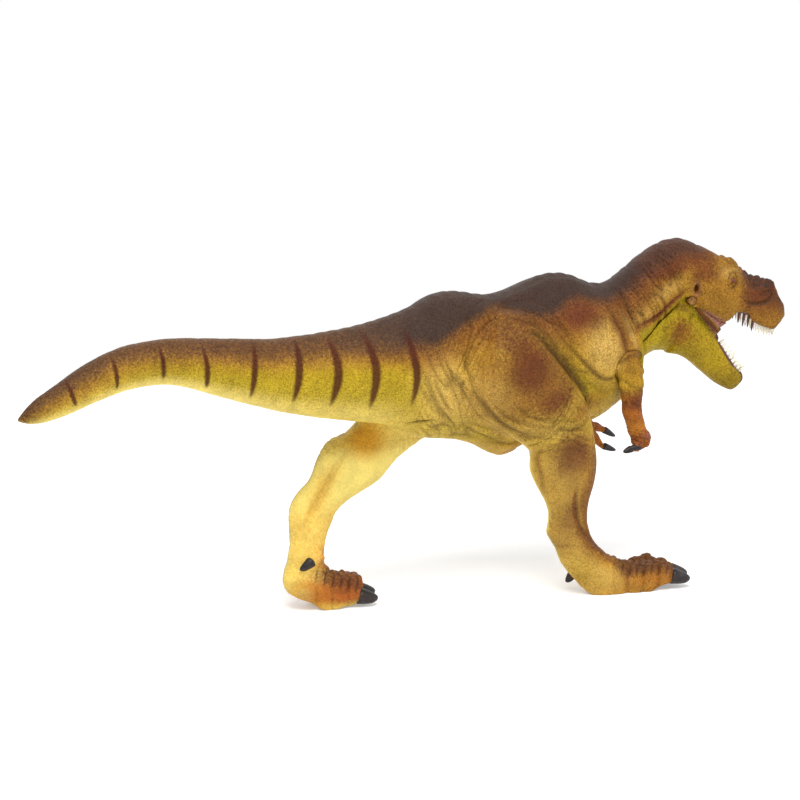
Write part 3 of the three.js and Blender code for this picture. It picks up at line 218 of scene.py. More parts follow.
def nearest_on_path(places: Array, path: Array) -> tuple[Array, Array]:
    """How far each place is from a polyline, and where along it the nearest point lies.

    Args:
        places: Places in a plane, one row of two each.
        path: The polyline's points.

    Returns:
        The distances, and the shares of the path's length.
    """
    best = np.full(len(places), np.inf)
    share = np.zeros(len(places))
    lengths = np.linalg.norm(np.diff(path, axis=0), axis=1)
    starts = np.concatenate([[0], np.cumsum(lengths)])
    for i, (start, end) in enumerate(zip(path, path[1:])):
        step = end - start
        t = np.clip(((places - start) @ step) / max(step @ step, 1e-9), 0, 1)
        away = np.linalg.norm(places - start - t[:, None] * step, axis=1)
        closer = away < best
        best = np.where(closer, away, best)
        share = np.where(closer, (starts[i] + t * lengths[i]) / starts[-1], share)
    return best, share


@dataclass(frozen=True)
class Fold:
    """A fold line of the skin, or a painted line, drawn on the figure's side view in millimetres."""

    path: tuple[Point2, ...]
    width: float
    depth: float = 0.0
    side: Side = Side.BOTH
    inward: bool = False

    def mask(self, hide: "Hide") -> Array:
        """How strongly the line acts on each point of a skin, tapering off at both ends.

        Args:
            hide: The skin.

        Returns:
            The mask, from 0 to 1.
        """
        away, share = nearest_on_path(hide.points[:, [0, 2]], smooth_path(self.path))
        taper = np.sqrt(np.clip(np.sin(np.pi * np.clip(share, 0.02, 0.98)), 0, 1))
        facing = self.side.inner(hide) if self.inward else self.side.outer(hide)
        return bell(away, self.width * (0.4 + 0.6 * taper)) * taper * facing


@dataclass(frozen=True)
class Patch:
    """A soft oval area on the figure's side view, in millimetres."""

    middle: Point2
    reach: Point2
    tilt: float = 0.0
    side: Side = Side.BOTH

    def mask(self, hide: "Hide") -> Array:
        """How strongly the patch covers each point of a skin.

        Args:
            hide: The skin.

        Returns:
            The mask, from 0 to 1.
        """
        away = hide.points[:, [0, 2]] - self.middle
        turn = math.radians(self.tilt)
        along = away @ [math.cos(turn), math.sin(turn)] / self.reach[0]
        across = away @ [-math.sin(turn), math.cos(turn)] / self.reach[1]
        return np.exp(-((along**2 + across**2) ** 1.5)) * self.side.outer(hide)


@dataclass(frozen=True)
class Daub:
    """One painted line or patch: which mask it goes to, how strong it is and its shape."""

    mask: str
    strength: float
    shape: Fold | Patch


@dataclass
class Hide:
    """A fine skin mesh of quads in millimetres, with its normals and its paint masks."""

    points: Array
    quads: Array
    masks: dict[str, Array]
    normals: Array

    @classmethod
    def over(cls, nodes: tuple[str, ...], swell: float, voxel: float) -> "Hide":
        """One closed skin over several CAD nodes.

        Args:
            nodes: The CAD nodes that it covers.
            swell: How far each node is thickened first, which closes the fits between them.
            voxel: The size of the quads, in millimetres.

        Returns:
            The skin.
        """
        points, faces = [], []
        for node in nodes:
            start = sum(len(p) for p in points)
            place, triangles = solid_of(node, swell)
            points.append(place)
            faces.append(triangles + start)
        mesh = bpy.data.meshes.new("blank")
        mesh.from_pydata(np.vstack(points), [], np.vstack(faces))
        carrier = add_object("blank", mesh)
        shaper = carrier.modifiers.new("even quads", "REMESH")
        shaper.mode = "VOXEL"
        shaper.voxel_size = voxel * 1
        fine = take_mesh(carrier)
        place = np.zeros(len(fine.vertices) * 3)
        fine.vertices.foreach_get("co", place)
        corners = np.zeros(len(fine.loops), np.int64)
        fine.loops.foreach_get("vertex_index", corners)
        bpy.data.meshes.remove(mesh)
        bpy.data.meshes.remove(fine)
        hide = cls(place.reshape(-1, 3), corners.reshape(-1, 4), {}, np.zeros((0, 3)))
        hide.find_normals()
        return hide

    def find_normals(self) -> None:
        """Works the point normals out from the quads."""
        a, b, c, d = (self.points[self.quads[:, k]] for k in range(4))
        square = np.cross(c - a, d - b)
        corners, count = self.quads.ravel(), len(self.points)
        total = np.stack([np.bincount(corners, np.repeat(square[:, k], 4), count) for k in range(3)], 1)
        self.normals = total / np.maximum(np.linalg.norm(total, axis=1, keepdims=True), 1e-12)

    def edges(self) -> Array:
        """The directed edges of all quads, one row of two point numbers each."""
        return np.vstack([self.quads[:, [k, (k + 1) % 4]] for k in range(4)])

    def relax(self, rounds: int, share: Array | float = 1.0) -> None:
        """Evens the surface out, so that facets and joints flow into each other.

        Args:
            rounds: How often each point moves halfway to the middle of its neighbours.
            share: How freely each point follows, from 0 to 1.
        """
        ends, others = self.edges().T
        count = np.maximum(np.bincount(ends, minlength=len(self.points)), 1)
        pull = 0.5 * np.broadcast_to(share, len(self.points))[:, None]
        for _ in range(rounds):
            sums = [np.bincount(ends, self.points[others, k], len(self.points)) for k in range(3)]
            self.points += pull * (np.stack(sums, 1) / count[:, None] - self.points)
        self.find_normals()

    def raise_by(self, height: Array) -> None:
        """Moves each point out along its normal by its own height, in millimetres."""
        self.points += self.normals * height[:, None]
        self.find_normals()

    def lay(self, mask: str, value: Array) -> None:
        """Lays one more value over a paint mask, where the larger one wins."""
        before = self.masks.get(mask, np.zeros(len(self.points)))
        self.masks[mask] = np.maximum(before, np.clip(value, 0, 1))

    def daub(self, daubs: tuple[Daub, ...], share: Array | float = 1.0) -> None:
        """Lays painted lines and patches, each over its own mask and within a share of the skin."""
        for one in daubs:
            self.lay(one.mask, one.strength * share * one.shape.mask(self))

    def fade(self, masks: tuple[str, ...], share: Array) -> None:
        """Takes a share of each point's value away from the masks that the skin has."""
        for mask in masks:
            if mask in self.masks:
                self.masks[mask] *= 1 - share

    def part(self, faces: Array) -> "Hide":
        """The piece of this skin that some of its quads make, still open at its edge.

        Args:
            faces: Which quads, as a row of truth values.

        Returns:
            The piece.
        """
        used, quads = np.unique(self.quads[faces], return_inverse=True)
        masks = {name: value[used] for name, value in self.masks.items()}
        return Hide(self.points[used], quads.reshape(-1, 4), masks, self.normals[used])

    def rims(self) -> list[list[int]]:
        """The open edges of the skin, as rings of point numbers.

        Returns:
            The rings.
        """
        edges = self.edges()
        key = edges[:, 0] * len(self.points) + edges[:, 1]
        back = edges[:, 1] * len(self.points) + edges[:, 0]
        after: dict[int, list[int]] = {}
        for start, end in edges[~np.isin(back, key)].tolist():
            after.setdefault(start, []).append(end)
        rings = []
        while after:
            ring = [next(iter(after))]
            while after.get(ring[-1]):
                ring.append(after[ring[-1]].pop())
                if not after[ring[-2]]:
                    del after[ring[-2]]
            after.pop(ring[-1], None)
            rings.append(ring[:-1] if ring[0] == ring[-1] else ring)
        return [ring for ring in rings if len(ring) > 2]

    def mesh(self, name: str, paint: Material) -> Mesh:
        """The skin as a smooth mesh in metres, with each open edge closed by a hidden fan.

        Args:
            name: The mesh's name.
            paint: The skin's material.

        Returns:
            The mesh.
        """
        rings = self.rims()
        hubs = np.array([self.points[ring].mean(0) for ring in rings]).reshape(-1, 3)
        fans = []
        for i, ring in enumerate(rings):
            fans += [[end, start, len(self.points) + i] for start, end in zip(ring, ring[1:] + ring[:1])]
        mesh = bpy.data.meshes.new(name)
        mesh.from_pydata(np.vstack([self.points, hubs]) * MM, [], self.quads.tolist() + fans)
        mesh.shade_smooth()
        spare = np.tile([0.0, 0.0, 1.0], (len(rings), 1))
        mesh.normals_split_custom_set_from_vertices(np.vstack([self.normals, spare]))
        for mask, value in self.masks.items():
            write_mask(mesh, mask, np.concatenate([value, np.zeros(len(rings))]))
        mesh.materials.append(paint)
        return mesh


def write_mask(mesh: Mesh, mask: str, value: Array) -> None:
    """Writes a paint mask to a mesh, as one number for each point."""
    mesh.attributes.new(mask, "FLOAT", "POINT").data.foreach_set("value", value.astype(np.float32))


def solid_of(node: str, swell: float) -> tuple[Array, Array]:
    """A CAD node's merged points and triangles.

    Args:
        node: The node's name.
        swell: How far its points move out along their normals, in millimetres.

    Returns:
        The points in millimetres, and the triangles as rows of point numbers.
    """
    shape = bmesh.new()
    shape.from_mesh(frame["nodes"][node].data)
    bmesh.ops.remove_doubles(shape, verts=shape.verts, dist=0.002 * MM)
    bmesh.ops.triangulate(shape, faces=shape.faces)
    shape.normal_update()
    shape.verts.index_update()
    points = np.array([v.co / MM + v.normal * swell for v in shape.verts])
    triangles = np.array([[v.index for v in f.verts] for f in shape.faces])
    shape.free()
    return points, triangles


def turn_outward(mesh: Mesh, merge: float = 0.0) -> None:
    """Turns all faces of a closed mesh outward.

    Args:
        mesh: The mesh.
        merge: How near points are merged first, in millimetres, where they are at all.
    """
    shape = bmesh.new()
    shape.from_mesh(mesh)
    if merge:
        bmesh.ops.remove_doubles(shape, verts=shape.verts, dist=merge * MM)
    bmesh.ops.recalc_face_normals(shape, faces=shape.faces)
    shape.to_mesh(mesh)
    shape.free()


def closed_mesh(name: str, points: Array, faces: list, material: Material) -> Mesh:
    """A smooth closed mesh whose faces all look outward.

    Args:
        name: The mesh's name.
        points: Its points, in millimetres.
        faces: Its faces, as rows of point numbers.
        material: What it is made of.

    Returns:
        The mesh, in metres.
    """
    mesh = bpy.data.meshes.new(name)
    mesh.from_pydata(points * MM, [], faces)
    turn_outward(mesh)
    mesh.shade_smooth()
    mesh.materials.append(material)
    return mesh


def loft(rings: list[Array]) -> tuple[Array, list]:
    """A closed tube through rings of equally many points.

    Args:
        rings: The rings' points, from one end to the other.

    Returns:
        The tube's points and its faces, with a lid at either end.
    """
    sides, last = len(rings[0]), (len(rings) - 1) * len(rings[0])
    faces = []
    for start in range(0, last, sides):
        for k in range(sides):
            n = (k + 1) % sides
            faces.append([start + k, start + n, start + sides + n, start + sides + k])
    faces += [list(range(sides)), [last + k for k in reversed(range(sides))]]
    return np.vstack(rings), faces


def circle(sides: int) -> Array:
    """The angles of evenly spaced points on a circle."""
    return np.arange(sides) / sides * 2 * math.pi


def add_object(name: str, data: bpy.types.ID) -> bpy.types.Object:
    """Puts an object into the scene.

    Args:
        name: The object's name.
        data: Its mesh, lamp or camera.

    Returns:
        The object.
    """
    made = bpy.data.objects.new(name, data)
    bpy.context.scene.collection.objects.link(made)
    return made


def take_mesh(carrier: bpy.types.Object) -> Mesh:
    """Makes a plain mesh of what an object's modifiers give, and removes the object.

    Args:
        carrier: The object.

    Returns:
        The mesh.
    """
    mesh = bpy.data.meshes.new_from_object(carrier.evaluated_get(bpy.context.evaluated_depsgraph_get()))
    bpy.data.objects.remove(carrier)
    return mesh


def place_piece(mesh: Mesh, body: str, stands_for: tuple[str, ...] = ()) -> None:
    """Puts a finished mesh into the scene as a piece of the figure, under the mesh's name.

    Args:
        mesh: Its mesh, in metres in the figure's frame.
        body: The body that it rides on.
        stands_for: The CAD nodes that it replaces.
    """
    piece = add_object(mesh.name, mesh)
    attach(piece, body)
    if stands_for:
        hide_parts(*stands_for)
    log.info("%s: %d faces on %s", mesh.name, len(mesh.polygons), body)


class NodeBench:
    """A small helper that lays out and joins the nodes of one tree."""

    def __init__(self, tree: bpy.types.NodeTree) -> None:
        """Takes the tree that it fills."""
        self.tree = tree

    def add(self, kind: str, inputs: dict | None = None, **settings: object) -> Node:
        """Adds a node.

        Args:
            kind: The node's type name.
            inputs: What goes into its sockets: a socket to join, or a value to set.
            settings: The node's own settings.

        Returns:
            The node.
        """
        node = self.tree.nodes.new(kind)
        for name, value in settings.items():
            setattr(node, name, value)
        self.fill(node, inputs or {})
        return node

    def fill(self, node: Node, inputs: dict) -> None:
        """Joins sockets to a node's inputs, or sets plain values on them.

        Args:
            node: The node.
            inputs: A socket to join or a value to set, for each input's name or number.
        """
        for key, value in inputs.items():
            if isinstance(value, Socket):
                self.tree.links.new(value, node.inputs[key])
            else:
                node.inputs[key].default_value = value

    def math(self, operation: str, *values: object) -> Socket:
        """The result of a math node on sockets or plain numbers."""
        return self.add("ShaderNodeMath", dict(enumerate(values)), operation=operation).outputs[0]

    def mix(self, share: object, below: object, above: object, blend: str = "MIX") -> Socket:
        """The colour that comes of laying one colour over another by a share."""
        settings = {"data_type": "RGBA", "blend_type": blend}
        return self.add("ShaderNodeMix", {0: share, 6: below, 7: above}, **settings).outputs[2]

    def stretch(self, value: Socket, span: Point2, to: Point2) -> Socket:
        """A value that runs over one span, stretched and held to another one."""
        return self.add("ShaderNodeMapRange", dict(enumerate((value, *span, *to)))).outputs[0]

    def place(self) -> Socket:
        """Each point's place on its object."""
        return self.add("ShaderNodeTexCoord").outputs["Object"]

    def attribute(self, name: str) -> Socket:
        """A paint mask of the skin."""
        return self.add("ShaderNodeAttribute", attribute_name=name).outputs["Fac"]

    def noise(self, rate: object, detail: float, roughness: float = 0.5) -> Socket:
        """Clouds on the object, with so many waves for each metre."""
        inputs = {"Vector": self.place(), "Scale": rate, "Detail": detail, "Roughness": roughness}
        return self.add("ShaderNodeTexNoise", inputs).outputs["Fac"]

    def shown(self) -> Socket:
        """1 for the rays of the camera, of reflections and of glass, and 0 for those that carry light."""
        rays = self.add("ShaderNodeLightPath").outputs
        seen = self.math("MAXIMUM", rays["Is Camera Ray"], rays["Is Glossy Ray"])
        return self.math("MAXIMUM", seen, rays["Is Transmission Ray"])


def new_group(name: str, inputs: dict[str, float], outputs: tuple[str, ...]) -> tuple[NodeBench, Node, Node]:
    """An empty shader node group with named number sockets.

    Args:
        name: The group's name.
        inputs: Its input sockets with their first values.
        outputs: Its output sockets.

    Returns:
        The bench on the group, its input node and its output node.
    """
    tree = bpy.data.node_groups.new(name, "ShaderNodeTree")
    for socket, value in inputs.items():
        made = tree.interface.new_socket(socket, in_out="INPUT", socket_type="NodeSocketFloat")
        made.default_value = value
    for socket in outputs:
        tree.interface.new_socket(socket, in_out="OUTPUT", socket_type="NodeSocketFloat")
    bench = NodeBench(tree)
    return bench, bench.add("NodeGroupInput"), bench.add("NodeGroupOutput")


def new_material(name: str) -> tuple[Material, NodeBench, Node]:
    """A node material that is still bare.

    Args:
        name: The material's name.

    Returns:
        The material, the bench on its tree and its Principled shader.
    """
    material = bpy.data.materials.new(name)
    material.use_nodes = True
    return material, NodeBench(material.node_tree), material.node_tree.nodes["Principled BSDF"]


def pebbled_scales() -> bpy.types.NodeTree:
    """A group of small rounded scales with pits between them, and a finer tooth over them.

    Returns:
        The group's tree.
    """
    outputs = ("Height", "Pits", "Speckle")
    bench, given, result = new_group("pebbled scales", {"Size": 0.9, "Unevenness": 0.5}, outputs)
    rate = bench.math("DIVIDE", 1 / MM, given.outputs["Size"])
    cells = {"Vector": bench.place(), "Scale": rate, "Randomness": 0.9}
    away = bench.add("ShaderNodeTexVoronoi", cells).outputs["Distance"]
    dome = bench.math("SUBTRACT", 1.0, bench.math("MULTIPLY", away, away))
    tooth = bench.noise(bench.math("MULTIPLY", rate, 2.3), 3.0, 0.6)
    uneven = bench.math("MULTIPLY", tooth, given.outputs["Unevenness"])
    pits = bench.math("SMOOTH_MIN", 1.0, bench.math("MULTIPLY", away, 1.25), 0.2)
    speckle = bench.noise(bench.math("MULTIPLY", rate, 1.5), 3.0, 0.7)
    bench.fill(result, {"Height": bench.math("ADD", dome, uneven), "Pits": pits, "Speckle": speckle})
    return bench.tree


def airbrushed_edge() -> bpy.types.NodeTree:
    """A group that breaks a mask's soft edge up into spray and leaves full and bare areas alone.

    Returns:
        The group's tree.
    """
    sockets = {"Mask": 0.0, "Spray": 1.0, "Size": 1.0}
    bench, given, result = new_group("airbrushed edge", sockets, ("Mask",))
    spray = bench.noise(bench.math("DIVIDE", 1 / MM, given.outputs["Size"]), 5.0, 0.7)
    mask = given.outputs["Mask"]
    edge = bench.math("MULTIPLY", mask, bench.math("SUBTRACT", 1.0, mask))
    shift = bench.math("MULTIPLY", bench.math("SUBTRACT", spray, 0.5), given.outputs["Spray"])
    broken = bench.math("ADD", mask, bench.math("MULTIPLY", bench.math("MULTIPLY", edge, 6.0), shift))
    bench.fill(result, {"Mask": bench.add("ShaderNodeClamp", {"Value": broken}).outputs[0]})
    return bench.tree


@dataclass(frozen=True)
class Coat:
    """One coat of paint, laid on through a mask of the skin."""

    mask: str
    paint: Paint
    strength: float = 1.0
    spray: float = 1.0


@dataclass(frozen=True)
class SkinFinish:
    """The painted, finely pebbled skin: a ground colour and the coats over it, from first to last."""

    name: str
    ground: Paint
    coats: tuple[Coat, ...]
    pebble: float = 0.62
    relief: float = 0.17
    roughness: Point2 = (0.36, 0.62)
    shine: float = 0.1
    pit_wash: float = 0.42
    cloud_waves: float = 0.16
    cloud_tone: Point2 = (0.88, 1.1)
    speckle_tone: Point2 = (0.7, 1.28)
    noise_span: Point2 = (0.3, 0.7)
    calm_on_lemon: float = 0.75

    def material(self) -> Material:
        """The finish as a node material.

        Returns:
            The material.
        """
        material, bench, shader = new_material(self.name)
        scales = bench.add("ShaderNodeGroup", node_tree=pebbled_scales())
        bench.fill(scales, {"Size": self.pebble})
        airbrush = airbrushed_edge()
        colour: object = self.ground.linear()
        for coat in self.coats:
            inputs = {"Mask": bench.attribute(coat.mask), "Spray": coat.spray}
            edge = bench.add("ShaderNodeGroup", inputs, node_tree=airbrush).outputs["Mask"]
            colour = bench.mix(bench.math("MULTIPLY", edge, coat.strength), colour, coat.paint.linear())
        calm = bench.math("MULTIPLY", bench.attribute("lemon"), self.calm_on_lemon)
        busy = bench.math("SUBTRACT", 1.0, calm)
        clouds = bench.noise(self.cloud_waves / MM, 3.0)
        cloudy = bench.stretch(clouds, self.noise_span, self.cloud_tone)
        colour = bench.mix(1.0, colour, cloudy, "MULTIPLY")
        speckle = scales.outputs["Speckle"]
        speckled = bench.stretch(speckle, self.noise_span, self.speckle_tone)
        colour = bench.mix(busy, colour, speckled, "MULTIPLY")
        # Darker in the pits between the scales, less so on the lemon areas
        pits = bench.stretch(scales.outputs["Pits"], (0.5, 1.0), (0.0, self.pit_wash))
        colour = bench.mix(bench.math("MULTIPLY", pits, busy), colour, Paint.BROWN.linear(), "MULTIPLY")
        heights = {"Height": scales.outputs["Height"], "Distance": self.relief * MM, "Strength": 1.0}
        bump = bench.add("ShaderNodeBump", heights).outputs[0]
        rough = bench.stretch(speckle, (0.0, 1.0), self.roughness)
        sockets = {"Base Color": colour, "Roughness": rough, "Normal": bump}
        bench.fill(shader, {**sockets, "Specular IOR Level": self.shine})
        return material


@dataclass(frozen=True)
class PlainFinish:
    """A smooth finish with faint clouds: claw lacquer, tooth enamel, gum and eye paint."""

    name: str
    paint: Paint
    shade: Paint
    roughness: float
    coat: float = 0.0
    cloud: float = 2.0
    relief: float = 0.03
    shine: float = 0.4

    def material(self) -> Material:
        """The finish as a node material.

        Returns:
            The material.
        """
        material, bench, shader = new_material(self.name)
        clouds = bench.noise(1 / (self.cloud * MM), 4.0)
        share = bench.stretch(clouds, (0.35, 0.7), (0.0, 1.0))
        rough = bench.stretch(clouds, (0.0, 1.0), (self.roughness * 0.8, self.roughness * 1.25))
        bump = bench.add("ShaderNodeBump", {"Height": clouds, "Distance": self.relief * MM}).outputs[0]
        colour = bench.mix(share, self.paint.linear(), self.shade.linear())
        sockets = {"Base Color": colour, "Roughness": rough, "Normal": bump}
        bench.fill(shader, {**sockets, "Coat Weight": self.coat, "Specular IOR Level": self.shine})
        return material


BODY_FINISH = SkinFinish(
    "painted hide",
    Paint.OCHRE,
    (
        Coat("belly", Paint.STRAW, 0.95),
        Coat("moss", Paint.MOSS, 0.8),
        Coat("lemon", Paint.LEMON, 0.97),
        Coat("tan", Paint.TAN, 0.9),
        Coat("brown", Paint.BROWN, 0.9),
        Coat("sand", Paint.SAND, 0.85),
        Coat("amber", Paint.AMBER, 0.8),
        Coat("orange", Paint.ORANGE, 0.85),
        Coat("brick", Paint.BRICK, 0.85),
        Coat("rust", Paint.RUST, 0.9),
        Coat("purple", Paint.PURPLE_BROWN, 0.72),
        Coat("olive", Paint.OLIVE, 0.85, 0.8),
        Coat("saddle", Paint.CHARCOAL, 0.94, 0.8),
        Coat("stripe", Paint.MAROON, 0.92, 0.7),
        Coat("scute", Paint.UMBER, 0.9),
        Coat("pink", Paint.MAUVE, 0.9),
        Coat("mouth", Paint.GUM, 0.97, 0.5),
        Coat("fold", Paint.WASH, 0.8, 0.5),
    ),
)
CLAW_FINISH = PlainFinish("black claw lacquer", Paint.BLACK, Paint.CHARCOAL, 0.4, 0.05, 2.0, 0.05, 0.25)
TOOTH_FINISH = PlainFinish("ivory teeth", Paint.IVORY, Paint.BONE, 0.35, 0.2, 3.0)
DARK_TOOTH_FINISH = PlainFinish("stained rear teeth", Paint.MAROON, Paint.GUM, 0.4, 0.2)
GUM_FINISH = PlainFinish("dark gums", Paint.GUM, Paint.MAROON, 0.4, 0.3)
TONGUE_FINISH = PlainFinish("tongue", Paint.TONGUE, Paint.PINK, 0.4, 0.3)
EYE_FINISH = PlainFinish("eye lacquer", Paint.EYE_RED, Paint.WASH, 0.35, 0.1, 1.2, 0.02)
PIN_FINISH = PlainFinish("hinge pin", Paint.TAN, Paint.UMBER, 0.5, 0.0, 1.0, 0.06)


@dataclass(frozen=True)
class HeadFrame:
    """The head's own frame: the jaw hinge is its origin, and it looks along its first axis."""

    origin: Array
    ahead: Array
    left: Array

    @classmethod
    def of_hinge(cls) -> "HeadFrame":
        """Takes the frame from the jaw's hinge joint.

        Returns:
            The frame.
        """
        joint = next(j for j in frame["joints"] if j["name"] == "jaw_hinge")
        left = -np.array(joint["axis"], float)
        return cls(np.array(joint["pos_m"]) / MM, np.cross(left, [0.0, 0.0, 1.0]), left)

    def into(self, points: Array) -> Array:
        """Figure points as points of the head."""
        return (points - self.origin) @ np.stack([self.ahead, self.left, [0, 0, 1]], 1)

    def out(self, points: Array) -> Array:
        """Head points as points of the figure."""
        return points @ np.stack([self.ahead, self.left, [0, 0, 1]]) + self.origin

    @staticmethod
    def jaw_turned(points: Array, opening: float) -> Array:
        """Points of the level jaw, turned down about the hinge by the opening in degrees."""
        c, s = math.cos(math.radians(opening)), math.sin(math.radians(opening))
        return points @ np.array([[c, 0, -s], [0, 1, 0], [s, 0, c]])

    def out_of_jaw(self, points: Array) -> Array:
        """Points of the level jaw as points of the figure."""
        return self.out(self.jaw_turned(points, JAW_OPENING))

    def into_jaw(self, points: Array) -> Array:
        """Figure points as points of the level jaw."""
        return self.jaw_turned(self.into(points), -JAW_OPENING)


HEAD = HeadFrame.of_hinge()

SHOULDER_SPOT = Patch((67.5, 94.5), (7.5, 10.5), 10)
SHOULDER_DAUBS = (
    Daub("tan", 0.8, Patch((80, 88), (9, 12))),
    Daub("moss", 0.8, Patch((79, 83), (7, 9))),
    Daub("rust", 0.85, Fold(((69, 112), (73, 103), (75.6, 95.5), (77.4, 88.5)), 2.4)),
    Daub("rust", 1.0, Patch((60, 107), (11, 6.5), 10)),
    Daub("purple", 0.7, Patch((58, 108), (8, 4.5), 10)),
    Daub("sand", 0.7, Fold(((75.6, 108), (78.6, 100), (81.6, 92)), 1.5)),
    Daub("purple", 0.35, Patch((78, 86), (2.2, 1.8))),
)
FLANK_DAUBS = (
    Daub("purple", 0.6, Patch((30, 101), (9, 4), -15)),
    Daub("moss", 0.95, Fold(((46, 100), (53, 91), (60, 82), (66, 77), (73, 76)), 4.4)),
    # Painted shade: olive laid along the deep groove in front of the thigh, and more faintly along the crease
    # under the shoulder
    Daub(
        "olive",
        0.8,
        Fold(((36, 103.6), (41, 101), (46.4, 95.6), (51.6, 89.6), (57, 83), (61.5, 77), (64, 72)), 2.3),
    ),
    Daub("olive", 0.35, Fold(((60, 88), (66, 81.6), (72, 80), (77, 84)), 1.8)),
    Daub("belly", 0.8, Patch((4, 80), (16, 12))),
    Daub("sand", 0.5, Patch((16, 78), (12, 13), 30)),
    Daub("sand", 0.7, Patch((7, 82), (9, 14), 15)),
    Daub("sand", 0.4, Patch((38, 67), (14, 4), -8, Side.RIGHT)),
    # Painted highlight: a pale sand line along the lower roll of the near thigh
    Daub("sand", 0.75, Fold(((19, 75.5), (25, 68.6), (31, 64), (38, 61.6)), 1.4, 0, Side.RIGHT)),
    Daub("tan", 0.8, Patch((60, 73), (12, 4.5), 20)),
)
NECK_BAND = Fold(((81, 98.6), (86, 100.4), (91, 102), (96, 105), (101, 109.2), (105, 113)), 1.7)
NECK_DAUBS = (
    # Painted highlights: pale sand patches on the front of the neck
    Daub("sand", 0.5, Patch((96, 112.5), (7, 2.6), 30)),
    Daub("sand", 0.35, Patch((86, 103), (6, 4), 30)),
    Daub("brick", 0.8, NECK_BAND),
    Daub("purple", 0.5, NECK_BAND),
)
NEAR_LEG_DAUBS = (
    Daub("purple", 0.95, Patch((54, 57), (7, 7.2), 0, Side.RIGHT)),
    Daub("brown", 0.9, Patch((54.5, 56), (9, 10), 0, Side.RIGHT)),
    Daub("brown", 0.8, Patch((56, 32), (6, 15), -14, Side.RIGHT)),
    Daub("purple", 0.45, Patch((55.5, 32), (3, 6), -12, Side.RIGHT)),
    Daub("brown", 0.75, Fold(((54, 46), (57, 33), (64, 21), (75, 12)), 3.8, 0, Side.RIGHT)),
    Daub("tan", 0.8, Fold(((43, 62), (42, 55), (44.5, 47), (46.5, 38)), 1.6, 0, Side.RIGHT)),
    Daub("tan", 0.7, Fold(((46, 58), (47, 48), (50, 38), (55, 27)), 3.0, 0, Side.RIGHT)),
)
FAR_LEG_DAUBS = (
    Daub("amber", 0.95, Patch((-15, 62), (7, 7), 30)),
    Daub("orange", 0.3, Patch((-19, 66), (3.5, 2), 0)),
    Daub("orange", 0.8, Patch((-32, 19.5), (3.6, 5))),
    Daub("brick", 0.45, Patch((-29.5, 13), (5, 5))),
)
FAR_CALF = Fold(((-25, 55), (-29, 49.2), (-34.6, 39.7), (-38.2, 33.1), (-39.5, 25)), 3.4, 0, Side.LEFT, True)
JAW_DAUBS = (
    Daub("purple", 0.25, Patch((103.5, 96.8), (3.2, 3.6))),
    Daub("purple", 0.85, Patch((105, 105), (2.6, 1.8), -25)),
    Daub("brown", 0.7, Patch((104, 96), (6, 6))),
    Daub("brick", 0.45, Patch((103.5, 96), (4, 4.4))),
    Daub("rust", 0.35, Patch((112, 90), (7, 9), -40)),
)


def hip_daubs(side: Side, shift: float, lean: float) -> tuple[Daub, ...]:
    """The dark blotches of one hip and thigh.

    Args:
        side: Which flank they are on.
        shift: How far ahead of the right thigh's place they lie, in millimetres.
        lean: 1 where they lean as on the right thigh, and -1 where they lean the other way.

    Returns:
        The blotches.
    """
    return (
        Daub("tan", 0.9, Patch((36 + shift, 84), (23, 20), 0, side)),
        Daub("brown", 1.0, Patch((37 + shift, 90), (17, 14), -30 * lean, side)),
        Daub("brown", 0.6, Patch((30 + shift, 79), (12, 10), 0, side)),
        Daub("rust", 0.6, Patch((33 + shift, 97.5), (10, 4.5), -20, side)),
        Daub("purple", 1.0, Patch((35 + shift, 89.5), (7, 8), 0, side)),
        Daub("rust", 0.9, Patch((46 + shift * 1.4, 77.5), (8, 5), 25 * lean, side)),
    )


def paint_shoulder(hide: Hide) -> None:
    """Paints the pale shoulder patch and the shading round it, on the torso and on the arms alike.

    Args:
        hide: The skin.
    """
    inside = SHOULDER_SPOT.mask(hide)
    for mask, share in (("rust", 0.8), ("brown", 0.9), ("tan", 0.6)):
        hide.fade((mask,), share * inside)
    hide.lay("sand", 0.9 * inside)
    hide.daub(SHOULDER_DAUBS)


